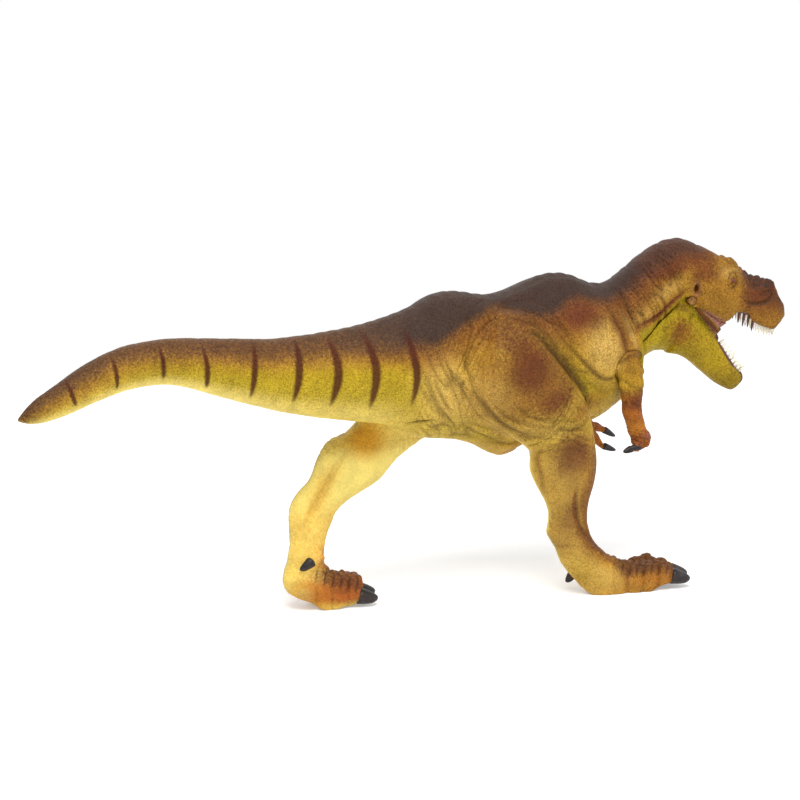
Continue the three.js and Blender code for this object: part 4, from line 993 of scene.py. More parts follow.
@dataclass
class Trunk:
    """Torso, tail, head and both legs, sculpted as one skin and then parted where the pieces meet."""

    voxel: float = 0.5
    swell: float = 0.22
    relax_rounds: int = 36
    tail_rounds: int = 70
    tail_swell: float = 0.16
    seam: Point2 = (17.3, 80.3)
    seam_reach: float = 3.2
    seam_rounds: int = 70
    nodes: tuple[str, ...] = ("torso", "tail", "head", "right_leg", "left_leg")

    # The lower edge of the dark saddle on the side view, from the tail tip to the brow
    saddle_edge: tuple[Point2, ...] = (
        (-147, 81.4), (-138, 87.8), (-128, 94.2), (-114, 100.4), (-97, 102.8), (-80, 101.2), (-64, 99.8),
        (-46, 99.2), (-30, 99.4), (-16, 99.8), (-5, 98.4), (3, 98.4), (8, 101.8), (14, 105.6), (24, 109.4),
        (31, 109.8), (38, 108.2), (44, 106.8), (49, 108.4), (55, 111.2), (60, 112), (66, 110), (72, 109.6),
        (78, 110.8), (84, 114), (90, 118.6), (96, 122), (102, 125), (108, 125.5), (116, 123), (126, 120),
        (147, 112),
    )

    # The stripes of the tail, each from the back down
    stripes: tuple[Fold, ...] = (
        Fold(((-129.6, 96), (-128.2, 91), (-126.4, 85.8)), 0.95),
        Fold(((-113.8, 103.5), (-112.8, 97), (-112.2, 90.5)), 0.95),
        Fold(((-96.9, 106), (-96.2, 99.5), (-95.8, 92.5)), 1.05),
        Fold(((-81.3, 105), (-80.6, 96), (-80.2, 87)), 1.15),
        Fold(((-62.2, 105), (-63.6, 94.4), (-64.7, 83.5)), 1.35),
        Fold(((-46.6, 105), (-47.4, 93.5), (-49.4, 81)), 1.65),
        Fold(((-34.8, 105), (-33.2, 93), (-35.9, 78.5)), 1.9),
        Fold(((-22.2, 106), (-19.5, 92.3), (-21.5, 76.5)), 1.9),
        Fold(((-7.4, 107), (-4.7, 90.5), (-6.3, 77)), 1.7),
    )

    # Folds of the skin on both flanks: the shoulder blade's edge, the hip's back and the tail root
    shared_folds: tuple[Fold, ...] = (
        Fold(
            ((50, 101), (54, 95.5), (58, 91), (61.5, 87.6), (66, 83.6), (70, 82.4), (74, 84.4), (77, 89.5)),
            1.0,
            0.75,
        ),
        Fold(((57, 86), (63, 80.6), (69, 77.4), (75, 78.4)), 0.7, 0.3),
        Fold(((79, 113), (80.5, 107), (82.5, 101), (85, 95.5)), 1.0, 0.9),
        Fold(((70, 111), (73, 104), (75.4, 97), (77, 90.5)), 1.1, 0.55),
        Fold(((75.5, 110), (77.5, 103.5), (80, 96.5)), 0.8, 0.5),
        Fold(((22, 100), (24, 105), (32, 106.8), (40, 104.5)), 1.3, 0.35),
        Fold(((5.5, 95), (7.5, 90.5), (9, 86.5), (11.5, 82.5)), 0.8, 0.7),
        Fold(((9, 88.5), (11.5, 84.5), (14, 80.5), (17, 76.5)), 0.8, 0.75),
        Fold(((1, 89), (3, 84.5), (5.5, 79.5), (9.5, 73.5)), 0.8, 0.6),
        Fold(((2, 80), (5.5, 75.4), (9.5, 70.8), (14, 67)), 0.8, 0.6),
        Fold(((-4, 88), (-2, 83), (1, 77.5), (4, 73.5)), 0.7, 0.4),
        Fold(((-7, 70.5), (-2, 71.4), (4, 72)), 0.55, 0.8),
    )

    # Folds of one flank: round the near thigh and down its leg, and the same of the far one
    own_folds: tuple[Fold, ...] = (
        Fold(
            ((33, 104.4), (40, 102), (45, 96.4), (50.4, 90.2), (56, 83.8), (61, 77), (64, 71.5)),
            1.5,
            1.3,
            Side.RIGHT,
        ),
        Fold(
            ((15.5, 90), (16.5, 83), (20, 77), (25, 71), (31.8, 66.4), (40, 63.8), (49, 62.8)),
            1.1,
            0.75,
            Side.RIGHT,
        ),
        Fold(((22, 78.5), (27, 73), (33, 69.6), (40, 67.4)), 0.8, 0.5, Side.RIGHT),
        Fold(((29, 78), (35, 73), (43, 70.3), (51, 69.5)), 1.0, 0.5, Side.RIGHT),
        Fold(((27, 74.5), (34, 69.5), (43, 67)), 0.9, 0.4, Side.RIGHT),
        Fold(((13.5, 97), (14, 91), (16.5, 85)), 0.8, 0.6, Side.RIGHT),
        Fold(((50, 58), (49.4, 52), (50.5, 46)), 1.4, 0.3, Side.RIGHT),
        Fold(((57, 44), (57.5, 36), (61, 27), (69, 18)), 1.2, 0.6, Side.RIGHT),
        Fold(((44, 68.4), (50, 66), (58, 66.5), (63, 70)), 1.0, 0.7, Side.RIGHT),
        Fold(((42.4, 62), (41.6, 55), (43.5, 47), (45.4, 40)), 0.9, 0.45, Side.RIGHT),
        Fold(((45.5, 97), (46.5, 91), (43.5, 82), (36, 73.5), (27, 67)), 1.3, 1.0, Side.LEFT),
        Fold(((-22, 60), (-28.2, 50.4), (-34.6, 39.9), (-38.2, 33), (-39, 26)), 1.7, 1.5, Side.LEFT, True),
        Fold(((-17, 61), (-20, 53), (-25, 46), (-30, 40)), 1.3, 0.6, Side.LEFT),
    )

    # On the head's own side view: the long hollow of the snout, the brow's ridge and the jowl
    snout_groove: tuple[Point2, ...] = (
        (19.2, 0.8), (22.5, -1.6), (27, -2.3), (31, -1.4), (33, 0.4), (31, 1.6), (27.5, 1.5),
    )
    brow_ridge: tuple[Point2, ...] = ((19, 5.2), (25, 2.6), (31, 2.8))
    jowl_line: tuple[Point2, ...] = ((5, -3.6), (9, -5.4), (12.5, -8))
    # The knobs on the snout's bridge, seen from above, and the places of the eye and the ear
    snout_knobs: tuple[Point2, ...] = (
        (20.4, -2.6), (22.8, -1.4), (25.2, -2.4), (27.4, -1.0), (29.6, -2.0), (31.6, -0.6), (33.4, -1.2),
        (21.4, 2.2), (24, 1.2), (26.4, 2.4), (28.8, 1.0), (31, 1.8),
    )
    eye: Point3 = (15.8, 7.9, 6.9)
    ear: Point2 = (1.3, 4.6)
    # Where the throat's green begins, and where the neck's dark crest begins
    neck_line: tuple[Point2, ...] = ((82, 99.6), (88, 101.2), (94.5, 103.6), (99.5, 107.8), (104.5, 112.2))
    crest_line: tuple[Point2, ...] = (
        (84, 115), (88, 115.6), (94, 116), (101, 117.8), (107, 119.8), (113.4, 122.7),
    )
    # Half the width of the mouth's hollow and the height of the lip, along the head
    cheek_wall: tuple[Point2, ...] = (
        (0, 9), (4, 10), (8, 10.4), (13, 10), (18, 9.1), (22, 7.6), (26, 6.8), (30, 6.4), (33.5, 5.9),
        (36, 5.1), (38, 3.8),
    )
    lip_line: tuple[Point2, ...] = (
        (3, -4), (8, -7), (13, -10.5), (18, -7.5), (22, -8), (26, -10), (30, -12), (33.5, -13), (36, -11.5),
    )

    def build(self, paint: Material) -> None:
        """Makes the skin, sculpts and paints it and places the five pieces.

        Args:
            paint: The skin's material.
        """
        hide = Hide.over(self.nodes, self.swell, self.voxel)
        self.shape_toes(hide)
        hide.relax(self.relax_rounds, self.freedom(hide))
        x, _, z = hide.points.T
        tail = fall(x, 6, 22) * smooth(z, 58, 66)
        hide.relax(self.tail_rounds, tail)
        hide.raise_by(self.tail_swell * tail * smooth(x, -150, -120))
        self.sculpt(hide)
        self.paint(hide)
        owner = self.owners(hide)
        for i, node in enumerate(self.nodes):
            place_piece(hide.part(owner == i).mesh(f"{node}_skin", paint), "body", (node,))

    def freedom(self, hide: Hide) -> Array:
        """How freely each point follows as the skin is evened out: less on the head and the feet.

        Args:
            hide: The skin.

        Returns:
            The share of each point.
        """
        x, y, z = hide.points.T
        head = HEAD.into(hide.points)
        on_head = smooth(head[:, 0], -6, 4) * smooth(head[:, 2], -22, -18)
        reach = np.hypot(x - Arm.pivot[0], z - Arm.pivot[1])
        at_bore = bell(reach - Arm.rim - 0.4, 1.1) * smooth(np.abs(y), 11, 13)
        return (1 - 0.72 * on_head - 0.75 * fall(z, 18, 32)) * (1 - 0.8 * at_bore)

    @staticmethod
    def shape_toes(hide: Hide) -> None:
        """Ends each toe bluntly where its claw starts, and fills it out there.

        Args:
            hide: The skin.
        """
        x, y, z = hide.points.T
        for foot in FEET:
            for toe in foot.toes():
                across, along = toe.local(hide.points)
                near = fall(np.abs(across), 2.6, 3.8) * fall(z, 9, 12)
                beyond = np.maximum(along - (toe.length - 0.8), 0) * 0.86 * near * (along < toe.length + 12)
                x -= beyond * toe.ahead[0]
                y -= beyond * toe.ahead[1]
                end = between(along, toe.length - 11, toe.length - 4, toe.length - 1, toe.length + 2)
                z += foot.toe_lift * end * near * smooth(z, 2.5, 6)
                z += 0.9 * fall(z, 1, 3.5) * smooth(along, toe.length * 0.3, toe.length) * near
        hide.find_normals()

    def owners(self, hide: Hide) -> Array:
        """Which node each quad belongs to: the one whose surface is nearest.

        Args:
            hide: The skin.

        Returns:
            The number of each quad's node.
        """
        middles = hide.points[hide.quads].mean(1)
        nearest = np.full(len(middles), np.inf)
        owner = np.zeros(len(middles), int)
        for i, node in enumerate(self.nodes):
            points, triangles = solid_of(node, self.swell)
            inside = np.all((middles > points.min(0) - 2) & (middles < points.max(0) + 2), axis=1)
            tree = BVHTree.FromPolygons(points.tolist(), triangles.tolist())
            for k in np.nonzero(inside)[0]:
                away = tree.find_nearest(Vector(middles[k]))[3]
                if away < nearest[k]:
                    nearest[k] = away
                    owner[k] = i
        return owner

    def sculpt(self, hide: Hide) -> None:
        """Presses the folds and wrinkles in and raises the scutes, bumps and lids.

        Args:
            hide: The skin.
        """
        depth = np.zeros(len(hide.points))
        fold = np.zeros(len(hide.points))
        flank = smooth(np.abs(hide.normals[:, 1]), 0.1, 0.45)
        for line in (*self.shared_folds, *self.own_folds):
            mask = line.mask(hide) * flank
            depth -= line.depth * mask
            fold = np.maximum(fold, mask * min(1.0, line.depth * 1.15))
        line = Fold(self.neck_line, 1.0, 0.8).mask(hide) * flank
        depth -= 0.9 * line
        fold = np.maximum(fold, 0.8 * line)
        for amount, mask in self.wrinkle_fields(hide):
            depth -= amount * mask
            fold = np.maximum(fold, mask * min(0.88, amount * 1.5))
        depth += self.muscles(hide)
        x, _, z = hide.points.T
        calm = fall(z, 66, 74) * np.maximum(Side.LEFT.inner(hide), Side.RIGHT.inner(hide))
        # The folds and wrinkles are painted darker, the deeper the darker, and less on the inner faces below
        # the hips
        hide.lay("fold", fold * (1 - 0.8 * calm))
        hide.raise_by(depth)
        at_seam = bell(np.hypot(x - self.seam[0], z - self.seam[1]), self.seam_reach)
        hide.relax(self.seam_rounds, at_seam * Side.RIGHT.outer(hide))
        self.sculpt_head(hide)
        self.sculpt_feet(hide)

    def wrinkle_fields(self, hide: Hide) -> list[tuple[float, Array]]:
        """The fine wrinkles of each region.

        Args:
            hide: The skin.

        Returns:
            Pairs of a depth in millimetres and how deep each point lies in a wrinkle.
        """
        x, y, z = hide.points.T
        flank = smooth(np.abs(hide.normals[:, 1]), 0.15, 0.6)
        hip = np.hypot(x - 33, (z - 86) * 0.9)
        around = np.degrees(np.arctan2(z - 86, x - 33))
        ahead, up = 0.88 * x + 0.48 * z, 0.88 * z - 0.48 * x
        ring = between(hip, 12, 20, 24, 33) * flank * fall(x, 50, 60)
        neck = between(x, 74, 80, 99, 106) * smooth(z, 96, 101) * flank
        shoulder = between(x, 56, 64, 77, 82) * between(z, 84, 90, 104, 112) * flank
        root = between(x, -8, 2, 14, 22) * fall(z, 92, 100) * flank
        waist = between(x, 44, 52, 60, 66) * between(z, 58, 66, 86, 92) * flank
        knee = band(z, 64, 4, 12) * smooth(np.abs(y), 6, 9)
        return [
            (0.5, wrinkles(hip, around * 0.4, y, 1.75, 15, 3) * ring),
            (0.66, wrinkles(ahead, up, y, 1.35, 12, 5) * neck),
            (0.28, wrinkles(x, z, y, 1.7, 12, 7) * shoulder),
            (0.46, wrinkles(ahead, up, y, 1.9, 13, 9) * root),
            (0.36, wrinkles(x + z, z - x, y, 2.4, 11, 11) * waist),
            (0.34, wrinkles(z + 0.3 * x, x, y, 2.6, 9, 13) * knee),
            (0.22, wrinkles(z + 0.2 * x, x, y, 2.2, 8, 15) * band(z, 26, 6, 16)),
            (0.12, wrinkles(x, z, y, 3.4, 9, 17) * smooth(z, 30, 50)),
        ]

    def muscles(self, hide: Hide) -> Array:
        """Low swells of the muscles and the bones under the skin.

        Args:
            hide: The skin.

        Returns:
            The height of each point, in millimetres.
        """
        x, y, z = hide.points.T
        flank = smooth(np.abs(hide.normals[:, 1]), 0.2, 0.7)
        lumps = value_noise(hide.points, 11.0, 21) - 0.5
        ribs = np.sin((x - 0.45 * z) / 1.55) * between(x, 44, 52, 64, 72) * smooth(z, 88, 95)
        spine = smooth(hide.normals[:, 2], 0.75, 0.95) * fall(np.abs(y), 1, 4) * smooth(x, -60, -20)
        knobs = np.abs(np.sin(x / 1.5)) * spine * (z > 90)
        shoulder = Patch((67, 95), (8, 9)).mask(hide)
        thigh = Patch((40, 84), (11, 13), 20, Side.RIGHT).mask(hide)
        calf = Patch((49, 52), (5, 8), 0, Side.RIGHT).mask(hide)
        return 0.5 * lumps + (0.16 * ribs + 0.5 * shoulder + 0.35 * thigh + 0.3 * calf) * flank + 0.3 * knobs

    def sculpt_head(self, hide: Hide) -> None:
        """Eyelids, ears, nostrils, the snout's grooves and its rough bumps.

        Args:
            hide: The skin.
        """
        x, aside, z = HEAD.into(hide.points).T
        y = np.abs(aside)
        on_head = smooth(x, -4, 2)
        side = smooth(np.abs(hide.normals @ HEAD.left), 0.3, 0.7)
        top = smooth(hide.normals[:, 2], 0.1, 0.6) * smooth(x, 17, 20)
        lean = (x - self.eye[0]) - 0.22 * (z - self.eye[2])
        offset = np.stack([lean * 1.35, (y - self.eye[1]) * 0.5, (z - self.eye[2]) * 0.86], 1)
        eye = np.linalg.norm(offset, axis=1)
        uneven = 0.7 + 0.6 * value_noise(hide.points, 1.6, 35)
        lids = 0.3 * bell(eye - 1.7, 0.4) - 0.5 * bell(eye - 2.5, 0.6) * uneven
        lids += 0.45 * bell(eye - 3.4, 0.6) * smooth(x + 0.5 * z, 15, 21)
        ear = np.exp(-(np.hypot((x - self.ear[0]) / 0.75, (z - self.ear[1]) / 1.7) ** 4))
        rim = bell(np.hypot((x - self.ear[0]) / 1.5, (z - self.ear[1]) / 2.6) - 1, 0.25)
        flat = np.stack([x, z], 1)
        groove, share = nearest_on_path(flat, smooth_path(self.snout_groove))
        trough = bell(groove, 0.7) * np.clip(np.sin(np.pi * np.clip(share, 0.03, 0.97)), 0, 1) ** 0.4
        brow = bell(nearest_on_path(flat, smooth_path(self.brow_ridge))[0], 1.2)
        jowl = bell(nearest_on_path(flat, smooth_path(self.jowl_line))[0], 0.8)
        knobs = sum(bell(np.hypot(x - a, aside - b), 0.95) for a, b in self.snout_knobs)
        bumps = np.abs(value_noise(hide.points, 2.0, 31) - 0.5) * 2
        height = (lids - 1.5 * ear + 0.3 * rim - 0.7 * trough + 0.3 * brow - 0.2 * jowl) * side
        height += top * (0.8 * knobs + 0.5 * (bumps - 0.35)) + 0.3 * (value_noise(hide.points, 2.6, 33) - 0.5)
        hide.raise_by(height * on_head)
        lid_line = 0.55 * uneven * bell(eye - 2.5, 0.55) * smooth(lean, -1.6, 1.2)
        hide.lay("fold", on_head * side * np.maximum(0.85 * trough, lid_line))
        hide.lay("rust", 0.9 * on_head * side * fall(eye, 1.7, 3.1))
        hide.lay("fold", 0.8 * top * fall(knobs, 0.1, 0.45) * fall(bumps, 0.1, 0.45) * on_head)
        hide.lay("mouth", 0.95 * ear * side * on_head)
        hide.lay("pink", 0.4 * rim * side * on_head)
        hide.lay("fold", 0.95 * np.exp(-((eye / 1.55) ** 4)) * on_head)
        up = hide.points[:, 2]
        for mirror, lift in ((-1, 0.7), (1, -1.1)):
            up += lift * bell(np.hypot(x - 13.6, aside - 5.25 * mirror), 2.7) * smooth(z, 8, 10)
        up -= 0.5 * bell(x - 18, 1.6) * smooth(z, 5, 8)
        up += (1.3 * bell(x - 34, 2.5) - 0.9 * bell(x - 25, 4)) * smooth(z, -3, 1)
        hide.find_normals()

    @staticmethod
    def sculpt_feet(hide: Hide) -> None:
        """Rows of blocky scutes over the toes and up the front of each ankle, and padded sides.

        Args:
            hide: The skin.
        """
        z = hide.points[:, 2]
        for foot in FEET:
            for toe in foot.toes():
                across, along = toe.local(hide.points)
                lengthwise = between(along, -6.5, -2.5, toe.length - 1, toe.length + 1)
                top = smooth(hide.normals[:, 2], -0.1, 0.25) * between(z, 5.4, 7.4, 14, 17)
                top = top * fall(np.abs(across), 2.8, 4.2) * lengthwise
                blocks = np.abs(np.sin(np.pi * (along + 0.5 * np.abs(across)) / foot.scute))
                split = smooth(np.abs(np.abs(across) - 1.1), 0.0, 0.45)
                hide.raise_by(1.0 * top * (blocks**0.5 * (0.5 + 0.5 * split) - 0.4))
                hide.lay("scute", 0.85 * top * (0.55 + 0.45 * smooth(hide.normals[:, 2], 0.1, 0.6)))
                seams = np.maximum(fall(blocks, 0.15, 0.55), 0.6 * (1 - split))
                hide.lay("fold", 0.75 * top * seams * smooth(along, -3.5, 0.5))
                side = fall(np.abs(across), 5.4, 6.6) * lengthwise * fall(z, 7, 12)
                side = side * smooth(np.abs(hide.normals[:, 1]), 0.3, 0.7)
                pads = np.abs(np.sin(np.pi * (along - 1.2) / (foot.scute * 2.1)))
                hide.raise_by(0.75 * side * (pads**0.5 - 0.7))
                hide.lay("fold", 0.3 * side * fall(pads, 0.04, 0.4))

    def paint(self, hide: Hide) -> None:
        """Lays the paint masks: belly and flanks, saddle and stripes, then head and legs.

        Args:
            hide: The skin.
        """
        x, _, z = hide.points.T
        top, bottom = self.outline(hide)
        height = (z - bottom) / (top - bottom)
        on_trunk = np.clip(smooth(z, 56, 66) + fall(x, -70, -62), 0, 1)
        hide.lay("belly", fall(height, 0.12, 0.62) * on_trunk * (1 - 0.45 * smooth(x, 46, 60)))
        edge = np.interp(x, *np.array(self.saddle_edge).T) + 1.8 * (value_noise(hide.points, 7.0, 41) - 0.5)
        soft = 5.6 - 2.8 * smooth(x, -10, 10)
        dark = 0.62 + 0.38 * smooth(x, -60, 10) + 0.2 * fall(x, -130, -105)
        saddle = smooth(z - edge + 1.2 * fall(x, -12, 0), -soft, soft)
        hide.lay("saddle", saddle * dark * (1 - 0.3 * smooth(x, 84, 92)))
        lifted = z - edge - 2.5 * fall(x, -40, -8) - 0.4 * fall(x, -100, -80)
        fringe = 7.4 + 7.1 * smooth(x, -10, 40) - 1.4 * fall(x, -110, -70)
        rust = 0.76 - 0.3 * band(x, 14, 6, 20)
        hide.lay("rust", rust * smooth(lifted, -fringe, 0) * (1 - 0.35 * smooth(x, 88, 100)))
        fringe = 6.5 + 8 * smooth(x, -10, 40)
        hide.lay("brown", 0.6 * smooth(z - edge, -fringe * 1.6, -fringe * 0.3) * smooth(x, -20, 10))
        hide.lay("tan", (0.7 + 0.1 * smooth(x, -20, 20)) * smooth(lifted, -fringe * 1.7, -fringe * 0.5))
        hide.lay("moss", 0.75 * band(height, 0.46, 0.1, 0.34) * between(x, -125, -95, -12, 4))
        hide.lay("lemon", (0.62 + 0.25 * fall(x, -70, -45)) * fall(height, 0.05, 0.36) * fall(x, -30, 0))
        for stripe in self.stripes:
            hide.lay("stripe", smooth(stripe.mask(hide) * smooth(z - bottom, 0.5, 5), 0.2, 0.75))
        paint_shoulder(hide)
        hide.daub(hip_daubs(Side.RIGHT, 0.0, 1) + hip_daubs(Side.LEFT, -12.0, -1) + FLANK_DAUBS)
        hide.lay("moss", 0.45 * band(x, 20, 6, 16) * between(z, 56, 60, 70, 76))
        self.paint_head(hide)
        self.paint_legs(hide)

    @staticmethod
    def outline(hide: Hide) -> tuple[Array, Array]:
        """The back's and the belly's heights over each point, from the trunk's own middle plane.

        Args:
            hide: The skin.

        Returns:
            The heights of the back, and those of the belly.
        """
        x, y, z = hide.points.T
        middle = (np.abs(y) < 3) & (z > 60) & (x < 90)
        bins = np.arange(-148, 92, 4.0)
        slot = np.digitize(x[middle], bins)
        tops = np.array([z[middle][slot == k].max(initial=0) for k in range(1, len(bins))])
        lows = np.array([z[middle][slot == k].min(initial=999) for k in range(1, len(bins))])
        middles = (bins[1:] + bins[:-1]) / 2
        return np.interp(x, middles, tops), np.interp(x, middles, lows)

    def paint_head(self, hide: Hide) -> None:
        """The ochre cheeks, the browner snout and the dark inside of the mouth.

        Args:
            hide: The skin.
        """
        far, _, up = hide.points.T
        x, y, z = HEAD.into(hide.points).T
        on_head = smooth(x, -6, 2)
        neck = smooth(far, 80, 86) * (1 - on_head)
        for mask, share in (("rust", 0.7), ("brown", 0.6), ("tan", 0.5)):
            hide.fade((mask,), share * on_head)
        hide.fade(("saddle",), 0.6 * on_head * smooth(x, 2, 9))
        hide.fade(("belly",), 0.8 * np.clip(on_head + neck, 0, 1))
        slope = up - 1.1 * (far - 90)
        hide.fade(("rust", "brown", "tan"), 0.8 * neck * fall(slope, 104, 112))
        hide.lay("tan", 0.6 * neck)
        hide.lay("brown", 0.7 * neck * smooth(slope, 108, 118))
        hide.lay("rust", 0.9 * neck * smooth(slope, 112, 121))
        hide.lay("rust", 0.85 * on_head * smooth(z, 5, 10) * fall(x, 6, 13))
        above = (up - np.interp(far, *np.array(self.crest_line).T)) * smooth(far, 80, 86)
        rear = between(far, 80, 88, 113, 120)
        hide.lay("rust", 0.9 * rear * smooth(above, -2.5, 2.5))
        hide.lay("purple", 0.5 * rear * smooth(above, 0, 4))
        hide.daub(NECK_DAUBS)
        line = np.interp(far, *np.array(self.neck_line).T)
        throat = smooth(line - up, 0.6, 2.4) * between(far, 82, 85, 103, 108)
        hide.fade(("rust", "brown", "tan", "purple"), 0.85 * throat)
        hide.lay("moss", 0.95 * throat)
        hide.lay("brown", 0.36 * on_head * (1 - throat))
        hide.lay("tan", 0.75 * on_head * (1 - throat))
        hide.lay("brown", 0.6 * smooth(x, 13, 25) + 0.4 * smooth(x, 15, 24) * smooth(z, -9, -3))
        hide.lay("rust", 0.65 * smooth(x, 17, 26) * smooth(z, -6, 1))
        hide.lay("purple", 0.6 * smooth(x, 16, 26) * smooth(z, -7, 0))
        hide.lay("saddle", 0.8 * smooth(x, 19, 23) * smooth(hide.normals[:, 2], 0.15, 0.8))
        hide.lay("purple", 0.5 * smooth(x, 33, 37) * smooth(z, -10, -4))
        hide.lay("moss", on_head * (0.3 + 0.45 * fall(x, 8, 16) * fall(z, -6, 0)))
        hide.lay("sand", 0.55 * bell(np.hypot((x - 14.5) / 4.5, (z - 10) / 2.2), 1) * on_head)
        inset = np.interp(x, *np.array(self.cheek_wall).T) - np.abs(y)
        lip = np.interp(x, *np.array(self.lip_line).T)
        hide.lay("mouth", smooth(inset, 1.0, 1.6) * smooth(lip + 6.5 - z, 0, 2) * smooth(x, 1, 4))
        hide.lay("pink", 0.8 * smooth(inset, 0.3, 1.1) * fall(z, -5, -2) * between(x, 0, 3, 10, 15))

    @staticmethod
    def paint_legs(hide: Hide) -> None:
        """Brown airbrushed outer faces, lemon inner faces and orange-brown feet.

        Args:
            hide: The skin.
        """
        x, y, z = hide.points.T
        normal = hide.normals
        clouds = value_noise(hide.points, 6.5, 51)
        ahead = smooth(normal[:, 0], -0.35, 0.75)
        for foot in FEET:
            leg = foot.side.holds(y) * fall(z, 54, 66)
            outer = smooth(foot.side.value * normal[:, 1], -0.15, 0.55)
            browned = outer * np.clip(0.45 + 0.55 * ahead + 0.3 * (clouds - 0.5), 0, 1)
            hide.lay("lemon", leg * (1 - 0.8 * outer) * smooth(z, 6, 14))
            hide.lay("moss", 0.6 * leg * outer * fall(ahead, 0, 0.5))
            hide.lay("sand", 0.3 * leg * outer * fall(ahead, 0.2, 0.6))
            hide.lay("tan", leg * 0.95 * browned)
            hide.lay("brown", leg * 0.6 * browned * smooth(clouds, 0.25, 0.6) * smooth(ahead, 0.2, 0.7))
            hide.lay("rust", leg * 0.5 * ahead * band(z, 30, 8, 18) * outer)
            step = x - foot.root[0]
            near = band(step, 8, 20, 26) * foot.side.holds(y)
            on_foot = near * fall(z, 9, 17)
            hide.lay("lemon", foot.pale * on_foot * fall(step, -4, 10))
            hide.lay("tan", (1 - foot.pale) * on_foot)
            hide.lay("brown", min(1.0, 1.6 * (1 - foot.pale)) * on_foot * smooth(step, -7, 4))
            hide.lay("amber", 0.8 * foot.pale * on_foot * smooth(step, -14, -4) * smooth(clouds, 0.2, 0.6))
            hide.lay("orange", foot.flush * on_foot * smooth(step, -11, 1) * smooth(z, 1, 5))
            hide.lay("brick", foot.flush * 0.9 * on_foot * smooth(step, -1, 11) * smooth(z, 1, 4.5))
            front = smooth(normal[:, 0] + 0.6 * normal[:, 2], 0.45, 0.9) * near * fall(z, 19, 27)
            hide.lay("orange", 0.9 * foot.flush * front * smooth(z, 3, 7))
            hide.lay("brick", 0.9 * foot.flush * front * between(z, 3, 7, 13, 20))
            hide.lay("scute", (0.95 - foot.flush) * front * between(z, 4, 8, 18, 28))
        hide.daub(NEAR_LEG_DAUBS)
        inner = Side.LEFT.inner(hide)
        hide.fade(("tan", "brown", "rust"), 0.8 * inner * fall(z, 68, 76))
        hide.lay("lemon", 0.5 * inner * fall(z, 68, 76))
        hide.daub(FAR_LEG_DAUBS, inner)
        hide.lay("amber", 0.65 * FAR_CALF.mask(hide))
        hide.lay("amber", 0.5 * inner * between(z, 8, 16, 32, 44))


@dataclass(frozen=True)
class Horn:
    """One claw or tooth: where it starts, where its tip is and how thick it starts, in millimetres."""

    root: Point3
    tip: Point3
    radius: float


@dataclass(frozen=True)
class HornShape:
    """How a horn is made: how far its tip curls, its sides and steps, and how blunt it is."""

    curl: float
    sides: int
    steps: int
    bluntness: float


FOOT_CLAW = HornShape(0.1, 16, 14, 0.33)
HAND_CLAW = HornShape(0.12, 12, 10, 0.35)
TOOTH = HornShape(0.12, 10, 8, 0.6)


@dataclass(frozen=True)
class Toe:
    """The line of one front toe on the ground, in millimetres."""

    root: Point2
    heading: float
    length: float

    @property
    def ahead(self) -> Point2:
        """The direction that the toe points to, seen from above."""
        turn = math.radians(self.heading)
        return math.cos(turn), math.sin(turn)

    def local(self, points: Array) -> tuple[Array, Array]:
        """How far points lie across and along the toe's line."""
        (c, s), away = self.ahead, points[:, :2] - self.root
        return away @ [-s, c], away @ [c, s]

    def above(self, along: float, height: float) -> Point3:
        """The point at a height over the toe's line, so far along it."""
        return (*(np.array(self.root) + np.array(self.ahead) * along), height)


@dataclass(frozen=True)
class Foot:
    """One foot: where its toes start, how they spread, its paint and its claws, in millimetres."""

    side: Side
    root: Point2
    length: float
    claw_heights: Point2
    spur: tuple[Point3, Point3]
    gap: float = 3.5
    toe_lift: float = 1.2
    flush: float = 0.95
    pale: float = 0.85
    spread: float = 10.0
    middle_turn: float = 2.0
    side_share: float = 0.9
    claw_radius: float = 3.3
    claw_length: float = 6.1
    claw_hidden: float = 0.3
    spur_radius: float = 2.15
    scute: float = 2.9

    def toes(self) -> list[Toe]:
        """The middle toe, the outer toe and the inner toe.

        Returns:
            The toes.
        """
        x, y = self.root
        found = [Toe((x, y), self.middle_turn * self.side.value, self.length)]
        for sign in (self.side.value, -self.side.value):
            found.append(Toe((x, y + sign * self.gap), self.spread * sign, self.length * self.side_share))
        return found

    def horns(self) -> list[Horn]:
        """The claws of the toes and of the small first toe.

        Returns:
            The claws.
        """
        base, tip = self.claw_heights
        found = []
        for toe in self.toes():
            start = toe.above(toe.length - self.claw_hidden * self.claw_length, base)
            found.append(Horn(start, toe.above(toe.length + self.claw_length, tip), self.claw_radius))
        return [*found, Horn(*self.spur, self.spur_radius)]


FEET = (
    Foot(
        Side.RIGHT,
        (79.4, -10.4),
        22.0,
        (5.2, 3.0),
        ((63.4, -6.2, 8.0), (60.2, -5.7, 3.6)),
        flush=0.25,
        pale=0.4,
    ),
    Foot(Side.LEFT, (-36.0, 13.1), 20.5, (4.4, 2.4), ((-36.4, 6.2, 19.6), (-41.4, 5.8, 16.4))),
)


